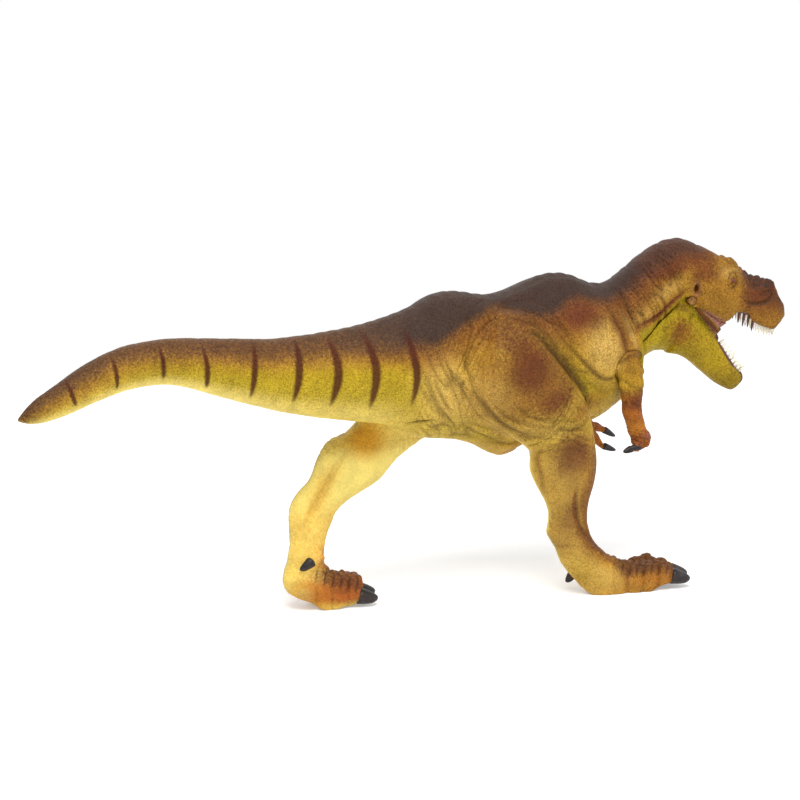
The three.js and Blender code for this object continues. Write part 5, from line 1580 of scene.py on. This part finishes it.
class HornMaker:
    """A Geometry Nodes tree that sets a curved, pointed horn on each point of a mesh."""

    INPUTS = (
        ("Curl", "NodeSocketFloat", 0.25),
        ("Sides", "NodeSocketInt", 10),
        ("Steps", "NodeSocketInt", 8),
        ("Bluntness", "NodeSocketFloat", 0.6),
    )
    MERGE = 0.003

    def __init__(self) -> None:
        """Builds the tree."""
        self.tree = bpy.data.node_groups.new("curved horns", "GeometryNodeTree")
        face = self.tree.interface
        face.new_socket("Geometry", in_out="INPUT", socket_type="NodeSocketGeometry")
        self.sockets = {}
        for name, kind, value in self.INPUTS:
            socket = face.new_socket(name, in_out="INPUT", socket_type=kind)
            socket.default_value = value
            self.sockets[name.lower()] = socket.identifier
        stuff = face.new_socket("Material", in_out="INPUT", socket_type="NodeSocketMaterial")
        self.sockets["material"] = stuff.identifier
        face.new_socket("Geometry", in_out="OUTPUT", socket_type="NodeSocketGeometry")
        bench = NodeBench(self.tree)
        given = bench.add("NodeGroupInput").outputs
        horn = self.horn(bench, given)
        turn, size = (
            bench.add("GeometryNodeInputNamedAttribute", {"Name": name}, data_type="FLOAT_VECTOR").outputs[0]
            for name in ("turn", "size")
        )
        angle = bench.add("FunctionNodeEulerToRotation", {0: turn}).outputs[0]
        sets = {"Points": given["Geometry"], "Instance": horn, "Rotation": angle, "Scale": size}
        placed = bench.add("GeometryNodeInstanceOnPoints", sets)
        whole = bench.add("GeometryNodeRealizeInstances", {0: placed.outputs[0]})
        soft = bench.add("GeometryNodeSetShadeSmooth", {0: whole.outputs[0]})
        dress = {"Geometry": soft.outputs[0], "Material": given["Material"]}
        bench.add("NodeGroupOutput", {0: bench.add("GeometryNodeSetMaterial", dress).outputs[0]})

    @staticmethod
    def horn(bench: NodeBench, given: bpy.types.NodeOutputs) -> Socket:
        """Lays out the nodes of one upright horn of length one.

        Args:
            bench: The bench on the tree.
            given: The tree's inputs.

        Returns:
            The horn's mesh.
        """
        bend = bench.add("ShaderNodeCombineXYZ", {"X": given["Curl"], "Z": 1.0}).outputs[0]
        points = {"Start": (0, 0, 0), "Middle": (0, 0, 0.55), "End": bend}
        curve = {"Resolution": given["Steps"], **points}
        axis = bench.add("GeometryNodeCurveQuadraticBezier", curve).outputs[0]
        share = bench.add("GeometryNodeSplineParameter").outputs["Factor"]
        left = bench.math("MAXIMUM", bench.math("SUBTRACT", 1.0, share), 0.004)
        rise = bench.math("SQRT", bench.math("ADD", bench.math("MULTIPLY", share, 7.0), 0.12))
        swell = bench.math("MINIMUM", rise, 1.0)
        taper = bench.math("MULTIPLY", bench.math("POWER", left, given["Bluntness"]), swell)
        ring = bench.add("GeometryNodeCurvePrimitiveCircle", {"Resolution": given["Sides"], "Radius": 1.0})
        sized = bench.add("GeometryNodeSetCurveRadius", {"Curve": axis, "Radius": taper})
        inputs = {"Curve": sized.outputs[0], "Profile Curve": ring.outputs[0], "Fill Caps": True}
        horn = bench.add("GeometryNodeCurveToMesh", inputs)
        if "Scale" in horn.inputs:
            bench.fill(horn, {"Scale": taper})
        return horn.outputs[0]

    def build(
        self, name: str, horns: list[Horn], material: Material, bend_to: Point3, shape: HornShape
    ) -> Mesh:
        """Makes one plain mesh of a set of horns.

        Args:
            name: The mesh's name.
            horns: The horns.
            material: What they are made of.
            bend_to: The direction that the tips curl to, in the figure's frame.
            shape: How each horn is made.

        Returns:
            The mesh, in metres.
        """
        roots = bpy.data.meshes.new("roots")
        roots.from_pydata([Vector(horn.root) * MM for horn in horns], [], [])
        turns, sizes = [], []
        for horn in horns:
            axis = Vector(horn.tip) - Vector(horn.root)
            up = axis.normalized()
            curl = (Vector(bend_to) - up * up.dot(Vector(bend_to))).normalized()
            turns += list(Matrix((curl, up.cross(curl), up)).transposed().to_euler())
            sizes += [horn.radius * MM, horn.radius * MM, axis.length * MM]
        for attribute, values in (("turn", turns), ("size", sizes)):
            layer = roots.attributes.new(attribute, "FLOAT_VECTOR", "POINT")
            layer.data.foreach_set("vector", values)
        carrier = add_object("roots", roots)
        modifier = carrier.modifiers.new("horns", "NODES")
        modifier.node_group = self.tree
        for key, value in {**asdict(shape), "material": material}.items():
            modifier[self.sockets[key]] = value
        mesh = take_mesh(carrier)
        bpy.data.meshes.remove(roots)
        mesh.name = name
        turn_outward(mesh, self.MERGE)
        return mesh


@dataclass
class Arm:
    """One arm's skin with its knuckles, and its claws."""

    side: Side
    claws: tuple[tuple[Point2, Point2], ...]
    pivot: Point2 = (79.34, 85.8)
    rim: float = 6.7
    ring_gap: float = 1.1
    sunk: float = 0.35
    socket_floor: float = 13.0
    swell: float = 0.08
    voxel: float = 0.34
    hand_y: float = 15.4
    finger_gap: float = 1.6
    claw_radius: float = 1.5
    # From the disc's middle out: how far its dome stands from the figure's middle plane
    dome: tuple[Point2, ...] = ((3, 19.2), (5, 18.3), (6, 17), (6.5, 16.3), (6.8, 15.9))
    knuckles: tuple[Patch, ...] = (Patch((85.6, 60.5), (2.2, 1.6), -50), Patch((83, 56.6), (1.6, 1.4)))

    def build(self, paint: Material, lacquer: Material, maker: HornMaker) -> None:
        """Makes, sculpts and places the arm and its claws.

        Args:
            paint: The skin's material.
            lacquer: The claws' material.
            maker: Makes the claws.
        """
        name = f"{self.side.label}_arm"
        body = f"arm_{self.side.label}"
        hide = Hide.over((name,), self.swell, self.voxel)
        hide.relax(10, 0.25 + 0.75 * smooth(hide.points[:, 2], 60, 72))
        self.settle_rim(hide)
        x, y, z = hide.points.T
        creases = wrinkles(z + 0.3 * x, x, y, 2.2, 9, 61)
        hide.raise_by(-0.28 * creases + 0.5 * (value_noise(hide.points, 3.2, 63) - 0.5))
        knuckles = sum(knuckle.mask(hide) for knuckle in self.knuckles)
        hide.raise_by(0.5 * knuckles)
        bands = smooth(np.sin(z / 2.3 + 2.5 * value_noise(hide.points, 6.0, 65)), 0.2, 1.0)
        hide.lay("fold", 0.5 * creases)
        hide.lay("orange", 0.85 * fall(z, 72, 79))
        hide.lay("rust", 0.6 * bands * fall(z, 72, 78))
        hide.lay("brick", 0.5 * fall(z, 58, 64))
        hide.lay("brown", 0.95 * band(z, 72, 3, 9))
        hide.lay("pink", 0.35 * knuckles)
        hide.lay("purple", 0.8 * Patch((81.5, 74.5), (4.5, 3.4), 20).mask(hide))
        paint_shoulder(hide)
        hide.lay("rust", 0.5 * smooth(z, 87, 91.5))
        place_piece(hide.mesh(f"{name}_skin", paint), body, (name,))
        horns = []
        for (root, tip), gap in zip(self.claws, (self.finger_gap, -self.finger_gap)):
            line = self.side.value * (self.hand_y + gap)
            horns.append(Horn((root[0], line, root[1]), (tip[0], line, tip[1]), self.claw_radius))
        place_piece(maker.build(f"{name}_claws", horns, lacquer, (0, 0, -1), HAND_CLAW), body)

    def settle_rim(self, hide: Hide) -> None:
        """Lets the rim of the shoulder disc run level with the chest all round it.

        Args:
            hide: The arm's skin.
        """
        side, floor = self.side.value, self.socket_floor
        points, triangles = solid_of("torso", 0.2)
        chest = BVHTree.FromPolygons(points.tolist(), triangles.tolist())
        angles = np.arange(0, 360, 10)
        ring = self.rim + self.ring_gap
        levels = []
        for angle in np.radians(angles):
            x, z = self.pivot[0] + ring * math.cos(angle), self.pivot[1] + ring * math.sin(angle)
            met = chest.ray_cast(Vector((x, 40.0 * side, z)), Vector((0, -side, 0)))[0]
            levels.append(abs(met.y) - self.sunk if met else floor)
        away = hide.points[:, [0, 2]] - self.pivot
        reach = np.linalg.norm(away, axis=1)
        level = np.interp(np.degrees(np.arctan2(away[:, 1], away[:, 0])) % 360, angles, levels, period=360)
        dome = np.interp(reach, *np.array(self.dome).T)
        height = side * hide.points[:, 1] - floor
        scale = (np.maximum(level, floor + 0.3) - floor) / (dome - floor)
        free = between(reach, 2.6, 6.2, 7.2, 7.6) * smooth(away[:, 1], -2.6, 0.6)
        hide.points[:, 1] += side * np.maximum(height, 0) * (scale - 1) * free
        wider = 0.3 * between(reach, 5.4, 6.4, 7.1, 7.4) * smooth(away[:, 1], -3.5, -1) * smooth(height, 0, 1)
        hide.points[:, [0, 2]] += away / np.maximum(reach, 1)[:, None] * wider[:, None]
        hide.find_normals()


ARMS = (
    Arm(Side.RIGHT, (((84.4, 55.9), (79.8, 55.4)), ((82.4, 54.6), (78.8, 53.4)))),
    Arm(Side.LEFT, (((85.8, 55.1), (91.0, 51.7)), ((84.1, 49.5), (89.7, 47.0)))),
)


def spread(path: Array, count: int) -> Array:
    """Evenly spaced points along a polyline.

    Args:
        path: The polyline's points.
        count: How many points to spread.

    Returns:
        The points.
    """
    steps = np.concatenate([[0], np.cumsum(np.linalg.norm(np.diff(path, axis=0), axis=1))])
    wanted = (np.arange(count) + 0.5) / count * steps[-1]
    return np.column_stack([np.interp(wanted, steps, path[:, k]) for k in range(3)])


@dataclass(frozen=True)
class ToothSet:
    """A gum strip with its row of teeth, in the head's frame or in the level jaw's."""

    name: str
    body: str
    out: Callable[[Array], Array]
    # From the rear of the row to its tip: ahead, aside and up, on the right side
    line: tuple[Point3, ...]
    gum: Point2
    count: int
    length: float
    direction: float
    radius: float
    stained_until: float = 0.0
    gum_width: float = 1.35
    gum_steps: int = 60
    gum_sides: int = 12
    root_depth: float = 1.1
    short_share: float = 0.8
    stain_reach: float = 1.45

    def path(self) -> Array:
        """The horseshoe through the right-hand line and its mirror image.

        Returns:
            Its points, close together.
        """
        right = np.array([(x, -y, z) for x, y, z in self.line])
        knots = np.vstack([right, right[::-1] * [1, -1, 1]])
        plan = smooth_path(tuple(map(tuple, knots[:, :2].tolist())), 12)
        height = smooth_path(tuple(enumerate(knots[:, 2].tolist())), 12)[:, 1]
        return np.column_stack([plan, height])

    def strip(self) -> tuple[Array, list]:
        """The rounded gum strip along the path.

        Returns:
            Its points and its faces.
        """
        line = spread(self.path(), self.gum_steps)
        tangent = np.gradient(line, axis=0) * [1, 1, 0]
        tangent /= np.linalg.norm(tangent, axis=1, keepdims=True)
        aside = np.column_stack([-tangent[:, 1], tangent[:, 0], np.zeros(self.gum_steps)])
        turn = circle(self.gum_sides)
        middle, half = sum(self.gum) / 2, (self.gum[1] - self.gum[0]) / 2
        up = np.sign(np.sin(turn)) * np.abs(np.sin(turn)) ** 0.6 * half + middle
        wide = np.cos(turn) * self.gum_width / 2
        return loft([at + np.outer(wide, way) + np.outer(up, [0, 0, 1]) for at, way in zip(line, aside)])

    def horns(self) -> tuple[list[Horn], list[Horn]]:
        """The teeth, a long and a short one in turn and smaller at the rear.

        Returns:
            The white teeth, and the dark ones.
        """
        white, darker = [], []
        for i, root in enumerate(spread(self.path(), self.count)):
            share = math.sin(math.pi * (i + 0.5) / self.count) ** 0.35
            size = self.length * (self.short_share if i % 2 else 1) * (0.6 + 0.4 * share)
            start = root - [0, 0, self.direction * self.root_depth]
            tip = root + [-0.14 * size, 0.05 * size * np.sign(root[1]), self.direction * size]
            # At the rear every second tooth is dark maroon and longer than the white ones
            rear = start[0] < self.stained_until
            dark = rear and i % 2 == 1
            reach = (tip - start) * (self.stain_reach if dark else 1.0)
            radius = self.radius * (0.75 + 0.25 * share) * (0.8 if rear else 1.0)
            root_end, tip_end = self.out(np.array([start, start + reach]))
            (darker if dark else white).append(Horn(tuple(root_end), tuple(tip_end), radius))
        return white, darker

    def build(self, maker: HornMaker, gum: Material, enamel: Material, dark_enamel: Material) -> None:
        """Makes and places the strip and the teeth.

        Args:
            maker: Makes the teeth.
            gum: The strip's material.
            enamel: The white teeth's material.
            dark_enamel: The dark teeth's material.
        """
        points, faces = self.strip()
        strip = closed_mesh(f"{self.name}_gum", self.out(points), faces, gum)
        place_piece(strip, self.body, (f"{self.name}_teeth",))
        for kind, horns, finish in zip(("teeth_row", "stained_teeth"), self.horns(), (enamel, dark_enamel)):
            if horns:
                teeth = maker.build(f"{self.name}_{kind}", horns, finish, tuple(-HEAD.ahead), TOOTH)
                place_piece(teeth, self.body)


TOOTH_SETS = (
    ToothSet(
        "upper",
        "body",
        HEAD.out,
        (
            (17.7, 6.8, -5.9), (22, 5.5, -7.0), (26.3, 4.6, -10.3), (30, 4.2, -12.1),
            (33.4, 3.5, -12.8), (34.8, 1.4, -12.5),
        ),
        gum=(0.2, 2.4),
        count=37,
        length=3.1,
        direction=-1,
        radius=0.9,
        stained_until=27.0,
    ),
    ToothSet(
        "lower",
        "jaw",
        HEAD.out_of_jaw,
        ((20.5, 4.9, 0.6), (25.6, 4.2, 0.3), (31.2, 3.4, 0.1), (35, 2.4, 0.2), (36.2, 1.2, 0.2)),
        gum=(-2.6, -0.9),
        count=19,
        length=2.3,
        direction=1,
        radius=0.88,
    ),
)


@dataclass
class Tongue:
    """The tongue, a low tapering pad with a furrow in the lower jaw, in the level jaw's frame."""

    root: float = 19.5
    length: float = 13.5
    half_width: float = 2.7
    thickness: float = 1.0
    furrow: float = 0.35
    steps: int = 26
    sides: int = 20

    def build(self, material: Material) -> None:
        """Makes and places the tongue.

        Args:
            material: What it is made of.
        """
        turn = circle(self.sides)
        furrow = -self.furrow * bell(np.cos(turn), 0.25) * (np.sin(turn) > 0)
        rings = []
        for share in np.linspace(0, 1, self.steps):
            half = self.half_width * math.sqrt(max(1 - share**3, 0.01)) * (0.85 + 0.15 * share)
            thick = self.thickness * math.sqrt(max(1 - share**4, 0.01))
            ahead = np.full(self.sides, self.root + self.length * share)
            up = thick * np.sin(turn) + furrow - 0.9 + 0.5 * share
            rings.append(np.column_stack([ahead, half * np.cos(turn), up]))
        points, faces = loft(rings)
        place_piece(closed_mesh("tongue", HEAD.out_of_jaw(points), faces, material), "jaw")


@dataclass
class MouthCorner:
    """The stretched skin between the cheek and the jaw on one side, in the head's frame."""

    side: Side
    middle: float = 8.5
    half_thickness: float = 0.27
    # Where the upper and the lower edge start and how far they run: ahead and up
    upper_edge: tuple[Point2, Point2] = ((2.0, -0.2), (11.6, -8.8))
    lower_edge: tuple[Point2, Point2] = ((1.6, -3.6), (9.0, -9.4))
    hollow: float = 1.4
    ripple: float = 0.1
    rows: int = 26
    columns: int = 14

    def build(self, paint: Material) -> None:
        """Makes, paints and places the corner.

        Args:
            paint: The skin's material.
        """
        count = self.rows * self.columns
        steps = (np.linspace(0, 1, self.rows), np.linspace(0, 1, self.columns))
        along, down = (axis.ravel() for axis in np.meshgrid(*steps, indexing="ij"))
        top, bottom = (start + np.outer(along, run) for start, run in (self.upper_edge, self.lower_edge))
        x, z = (top + (bottom - top) * down[:, None]).T
        x = x - self.hollow * np.sin(np.pi * down) * along**4
        ripple = self.ripple * np.sin(9 * down + 5 * along)
        sheets = []
        for inset in (self.half_thickness, -self.half_thickness):
            sheets.append(np.column_stack([x, self.side.value * (self.middle + inset + ripple), z]))
        name = f"{self.side.label}_mouth_corner"
        mesh = closed_mesh(name, HEAD.out(np.vstack(sheets)), self.faces(), paint)
        share = np.tile(down, 2)
        write_mask(mesh, "moss", np.ones(2 * count))
        # The upper part is pink skin; the lower part is painted dark purple-brown and gum colour as painted
        # shade of the recess above the jaw
        write_mask(mesh, "pink", fall(share, 0.42, 0.62))
        write_mask(mesh, "purple", smooth(share, 0.38, 0.6))
        write_mask(mesh, "mouth", 0.75 * smooth(share, 0.5, 0.8))
        place_piece(mesh, "body")

    def faces(self) -> list[list[int]]:
        """The faces of the two sheets and of the rim between them.

        Returns:
            The faces, as rows of point numbers.
        """
        rows, columns, count = self.rows, self.columns, self.rows * self.columns
        faces = []
        for i in range(rows - 1):
            for a in range(i * columns, i * columns + columns - 1):
                square = [a, a + 1, a + columns + 1, a + columns]
                faces += [square, [count + n for n in reversed(square)]]
        rim = [*range(columns), *range(2 * columns - 1, count, columns)]
        rim += [*range(count - 2, count - columns - 1, -1), *range(count - 2 * columns, 0, -columns)]
        return faces + [[b, a, count + a, count + b] for a, b in zip(rim, rim[1:] + rim[:1])]


@dataclass
class LowerJaw:
    """The lower jaw with the throat behind it."""

    voxel: float = 0.42
    swell: float = 0.14
    # Half the width of the jaw's hollow, along the level jaw
    wall: tuple[Point2, ...] = ((5, 8), (8, 8), (12, 7.6), (20, 6.8), (25.6, 6.2), (31.2, 5.4), (36.4, 4.4))

    def build(self, paint: Material) -> None:
        """Makes, sculpts, paints and places the jaw's skin.

        Args:
            paint: The skin's material.
        """
        hide = Hide.over(("lower_jaw",), self.swell, self.voxel)
        hide.relax(22, 0.3 + 0.6 * fall(HEAD.into_jaw(hide.points)[:, 0], 4, 16))
        x, y, z = HEAD.into_jaw(hide.points).T
        folds = wrinkles(x + 0.5 * z, z, y, 2.4, 11, 71) * fall(x, 4, 14)
        hide.raise_by(-0.26 * folds + 0.5 * (value_noise(hide.points, 5.0, 73) - 0.5))
        under = smooth(-hide.normals[:, 2] + 0.3 * hide.normals[:, 0], -0.1, 0.8)
        hide.lay("fold", 0.45 * folds)
        hide.lay("moss", 0.95 * np.ones(len(x)))
        hide.lay("belly", 0.35 * under)
        hide.lay("brown", 0.4 * smooth(x, 18, 34))
        hide.lay("sand", 0.4 * under * fall(np.abs(y), 1, 3))
        hide.lay("olive", 0.4 * smooth(x, 24, 36))
        hide.daub(JAW_DAUBS)
        inset = np.interp(x, *np.array(self.wall).T) - np.abs(y)
        hide.lay("mouth", smooth(inset, 0.9, 1.5) * smooth(z, -3.5, -2.2) * smooth(x, 14, 17))
        facing = smooth(hide.normals @ HEAD.ahead, 0.2, 0.6)
        hide.lay("mouth", 0.8 * facing * fall(x, 15, 19) * smooth(z, -2, 0))
        hide.lay("pink", 0.8 * smooth(z, -0.8, 0.1) * between(x, 2, 4, 16, 20))
        place_piece(hide.mesh("lower_jaw_skin", paint), "jaw", ("lower_jaw",))


@dataclass
class Eye:
    """A small glossy eye under the brow."""

    side: Side
    middle: Point3 = (15.8, 7.85, 6.9)
    radius: float = 1.2
    flatness: float = 0.8

    def build(self, material: Material) -> None:
        """Makes and places the eye.

        Args:
            material: What it is made of.
        """
        shape = bmesh.new()
        bmesh.ops.create_uvsphere(shape, u_segments=32, v_segments=20, radius=self.radius * MM)
        middle = HEAD.out(np.array([self.middle]) * [1, self.side.value, 1])[0] * MM
        for v in shape.verts:
            v.co.z *= self.flatness
            v.co += Vector(middle)
        mesh = bpy.data.meshes.new(f"{self.side.label}_eye")
        shape.to_mesh(mesh)
        shape.free()
        mesh.shade_smooth()
        mesh.materials.append(material)
        place_piece(mesh, "body")


@dataclass
class Studio:
    """A white sweep with soft light, and the camera of the photograph."""

    camera_place: Point3 = (-386.4, -898.6, 294.0)
    camera_target: Point3 = (-4.92, 0.06, 77.6)
    lens: float = 125.0
    floor_reach: float = 0.42
    floor_glow: float = 0.3
    world_light: float = 0.52
    lamp_target: Point3 = (0.0, 0.0, 0.07)
    # Name, place and edge in metres, and power in watts
    lamps: tuple[tuple[str, Point3, float, float], ...] = (
        ("key", (-0.25, -0.5, 1.0), 0.6, 10.5),
        ("fill", (0.9, -0.5, 0.5), 0.9, 2.4),
        ("rim", (0.1, 1.1, 0.8), 0.8, 2.4),
    )

    def build(self) -> None:
        """Sets the floor, the world, the lamps and the camera up."""
        self.floor()
        self.world()
        for name, place, size, energy in self.lamps:
            light = bpy.data.lights.new(name, "AREA")
            light.size = size
            light.energy = energy
            self.aim(add_object(name, light), Vector(place), Vector(self.lamp_target))
        eye = bpy.data.cameras.new("photograph")
        eye.lens = self.lens
        eye.clip_end = 50
        camera = add_object("photograph", eye)
        self.aim(camera, Vector(self.camera_place) * MM, Vector(self.camera_target) * MM)
        bpy.context.scene.camera = camera
        bpy.context.scene.view_settings.view_transform = "Standard"

    @staticmethod
    def aim(thing: bpy.types.Object, place: Vector, target: Vector) -> None:
        """Puts a lamp or a camera at a place in metres and turns it to its target."""
        thing.location = place
        thing.rotation_euler = (target - place).to_track_quat("-Z", "Y").to_euler()

    def floor(self) -> None:
        """Lays a wide white floor that keeps the shadows."""
        reach = self.floor_reach
        mesh = bpy.data.meshes.new("floor")
        corners = [(-reach, -reach, 0), (reach, -reach, 0), (reach, reach, 0), (-reach, reach, 0)]
        mesh.from_pydata(corners, [], [(0, 1, 2, 3)])
        material, bench, shader = new_material("white sweep")
        material.node_tree.nodes.remove(shader)
        matt = bench.add("ShaderNodeBsdfDiffuse", {"Color": FLOOR_GREY}).outputs[0]
        strength = bench.math("MULTIPLY", bench.shown(), self.floor_glow)
        glow = bench.add("ShaderNodeEmission", {"Strength": strength}).outputs[0]
        both = bench.add("ShaderNodeAddShader", {0: matt, 1: glow}).outputs[0]
        bench.fill(material.node_tree.nodes["Material Output"], {"Surface": both})
        mesh.materials.append(material)
        add_object("floor", mesh)

    def world(self) -> None:
        """White for the camera and for reflections, and a soft even light for all else."""
        world = bpy.data.worlds.new("studio")
        world.use_nodes = True
        bench = NodeBench(world.node_tree)
        strength = bench.stretch(bench.shown(), (0.0, 1.0), (self.world_light, 1.0))
        bench.fill(world.node_tree.nodes["Background"], {"Color": WHITE, "Strength": strength})
        bpy.context.scene.world = world


def main() -> None:
    """Builds the figure's pieces in order, then the studio."""
    logging.basicConfig(level=logging.INFO, format="%(name)s: %(message)s")
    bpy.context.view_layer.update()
    paint = BODY_FINISH.material()
    lacquer = CLAW_FINISH.material()
    maker = HornMaker()
    Trunk().build(paint)
    LowerJaw().build(paint)
    for arm in ARMS:
        arm.build(paint, lacquer, maker)
    for foot in FEET:
        claws = maker.build(f"{foot.side.label}_foot_claws", foot.horns(), lacquer, (0, 0, -1), FOOT_CLAW)
        place_piece(claws, "body")
    gum, enamel, dark_enamel = (finish.material() for finish in (GUM_FINISH, TOOTH_FINISH, DARK_TOOTH_FINISH))
    for teeth in TOOTH_SETS:
        teeth.build(maker, gum, enamel, dark_enamel)
    Tongue().build(TONGUE_FINISH.material())
    eye_paint = EYE_FINISH.material()
    for side in (Side.RIGHT, Side.LEFT):
        MouthCorner(side).build(paint)
    for side in (Side.RIGHT, Side.LEFT):
        Eye(side).build(eye_paint)
    pin = frame["nodes"]["jaw_pin"]
    pin.data.materials.clear()
    pin.data.materials.append(PIN_FINISH.material())
    Studio().build()


if __name__ == "__main__":
    main()
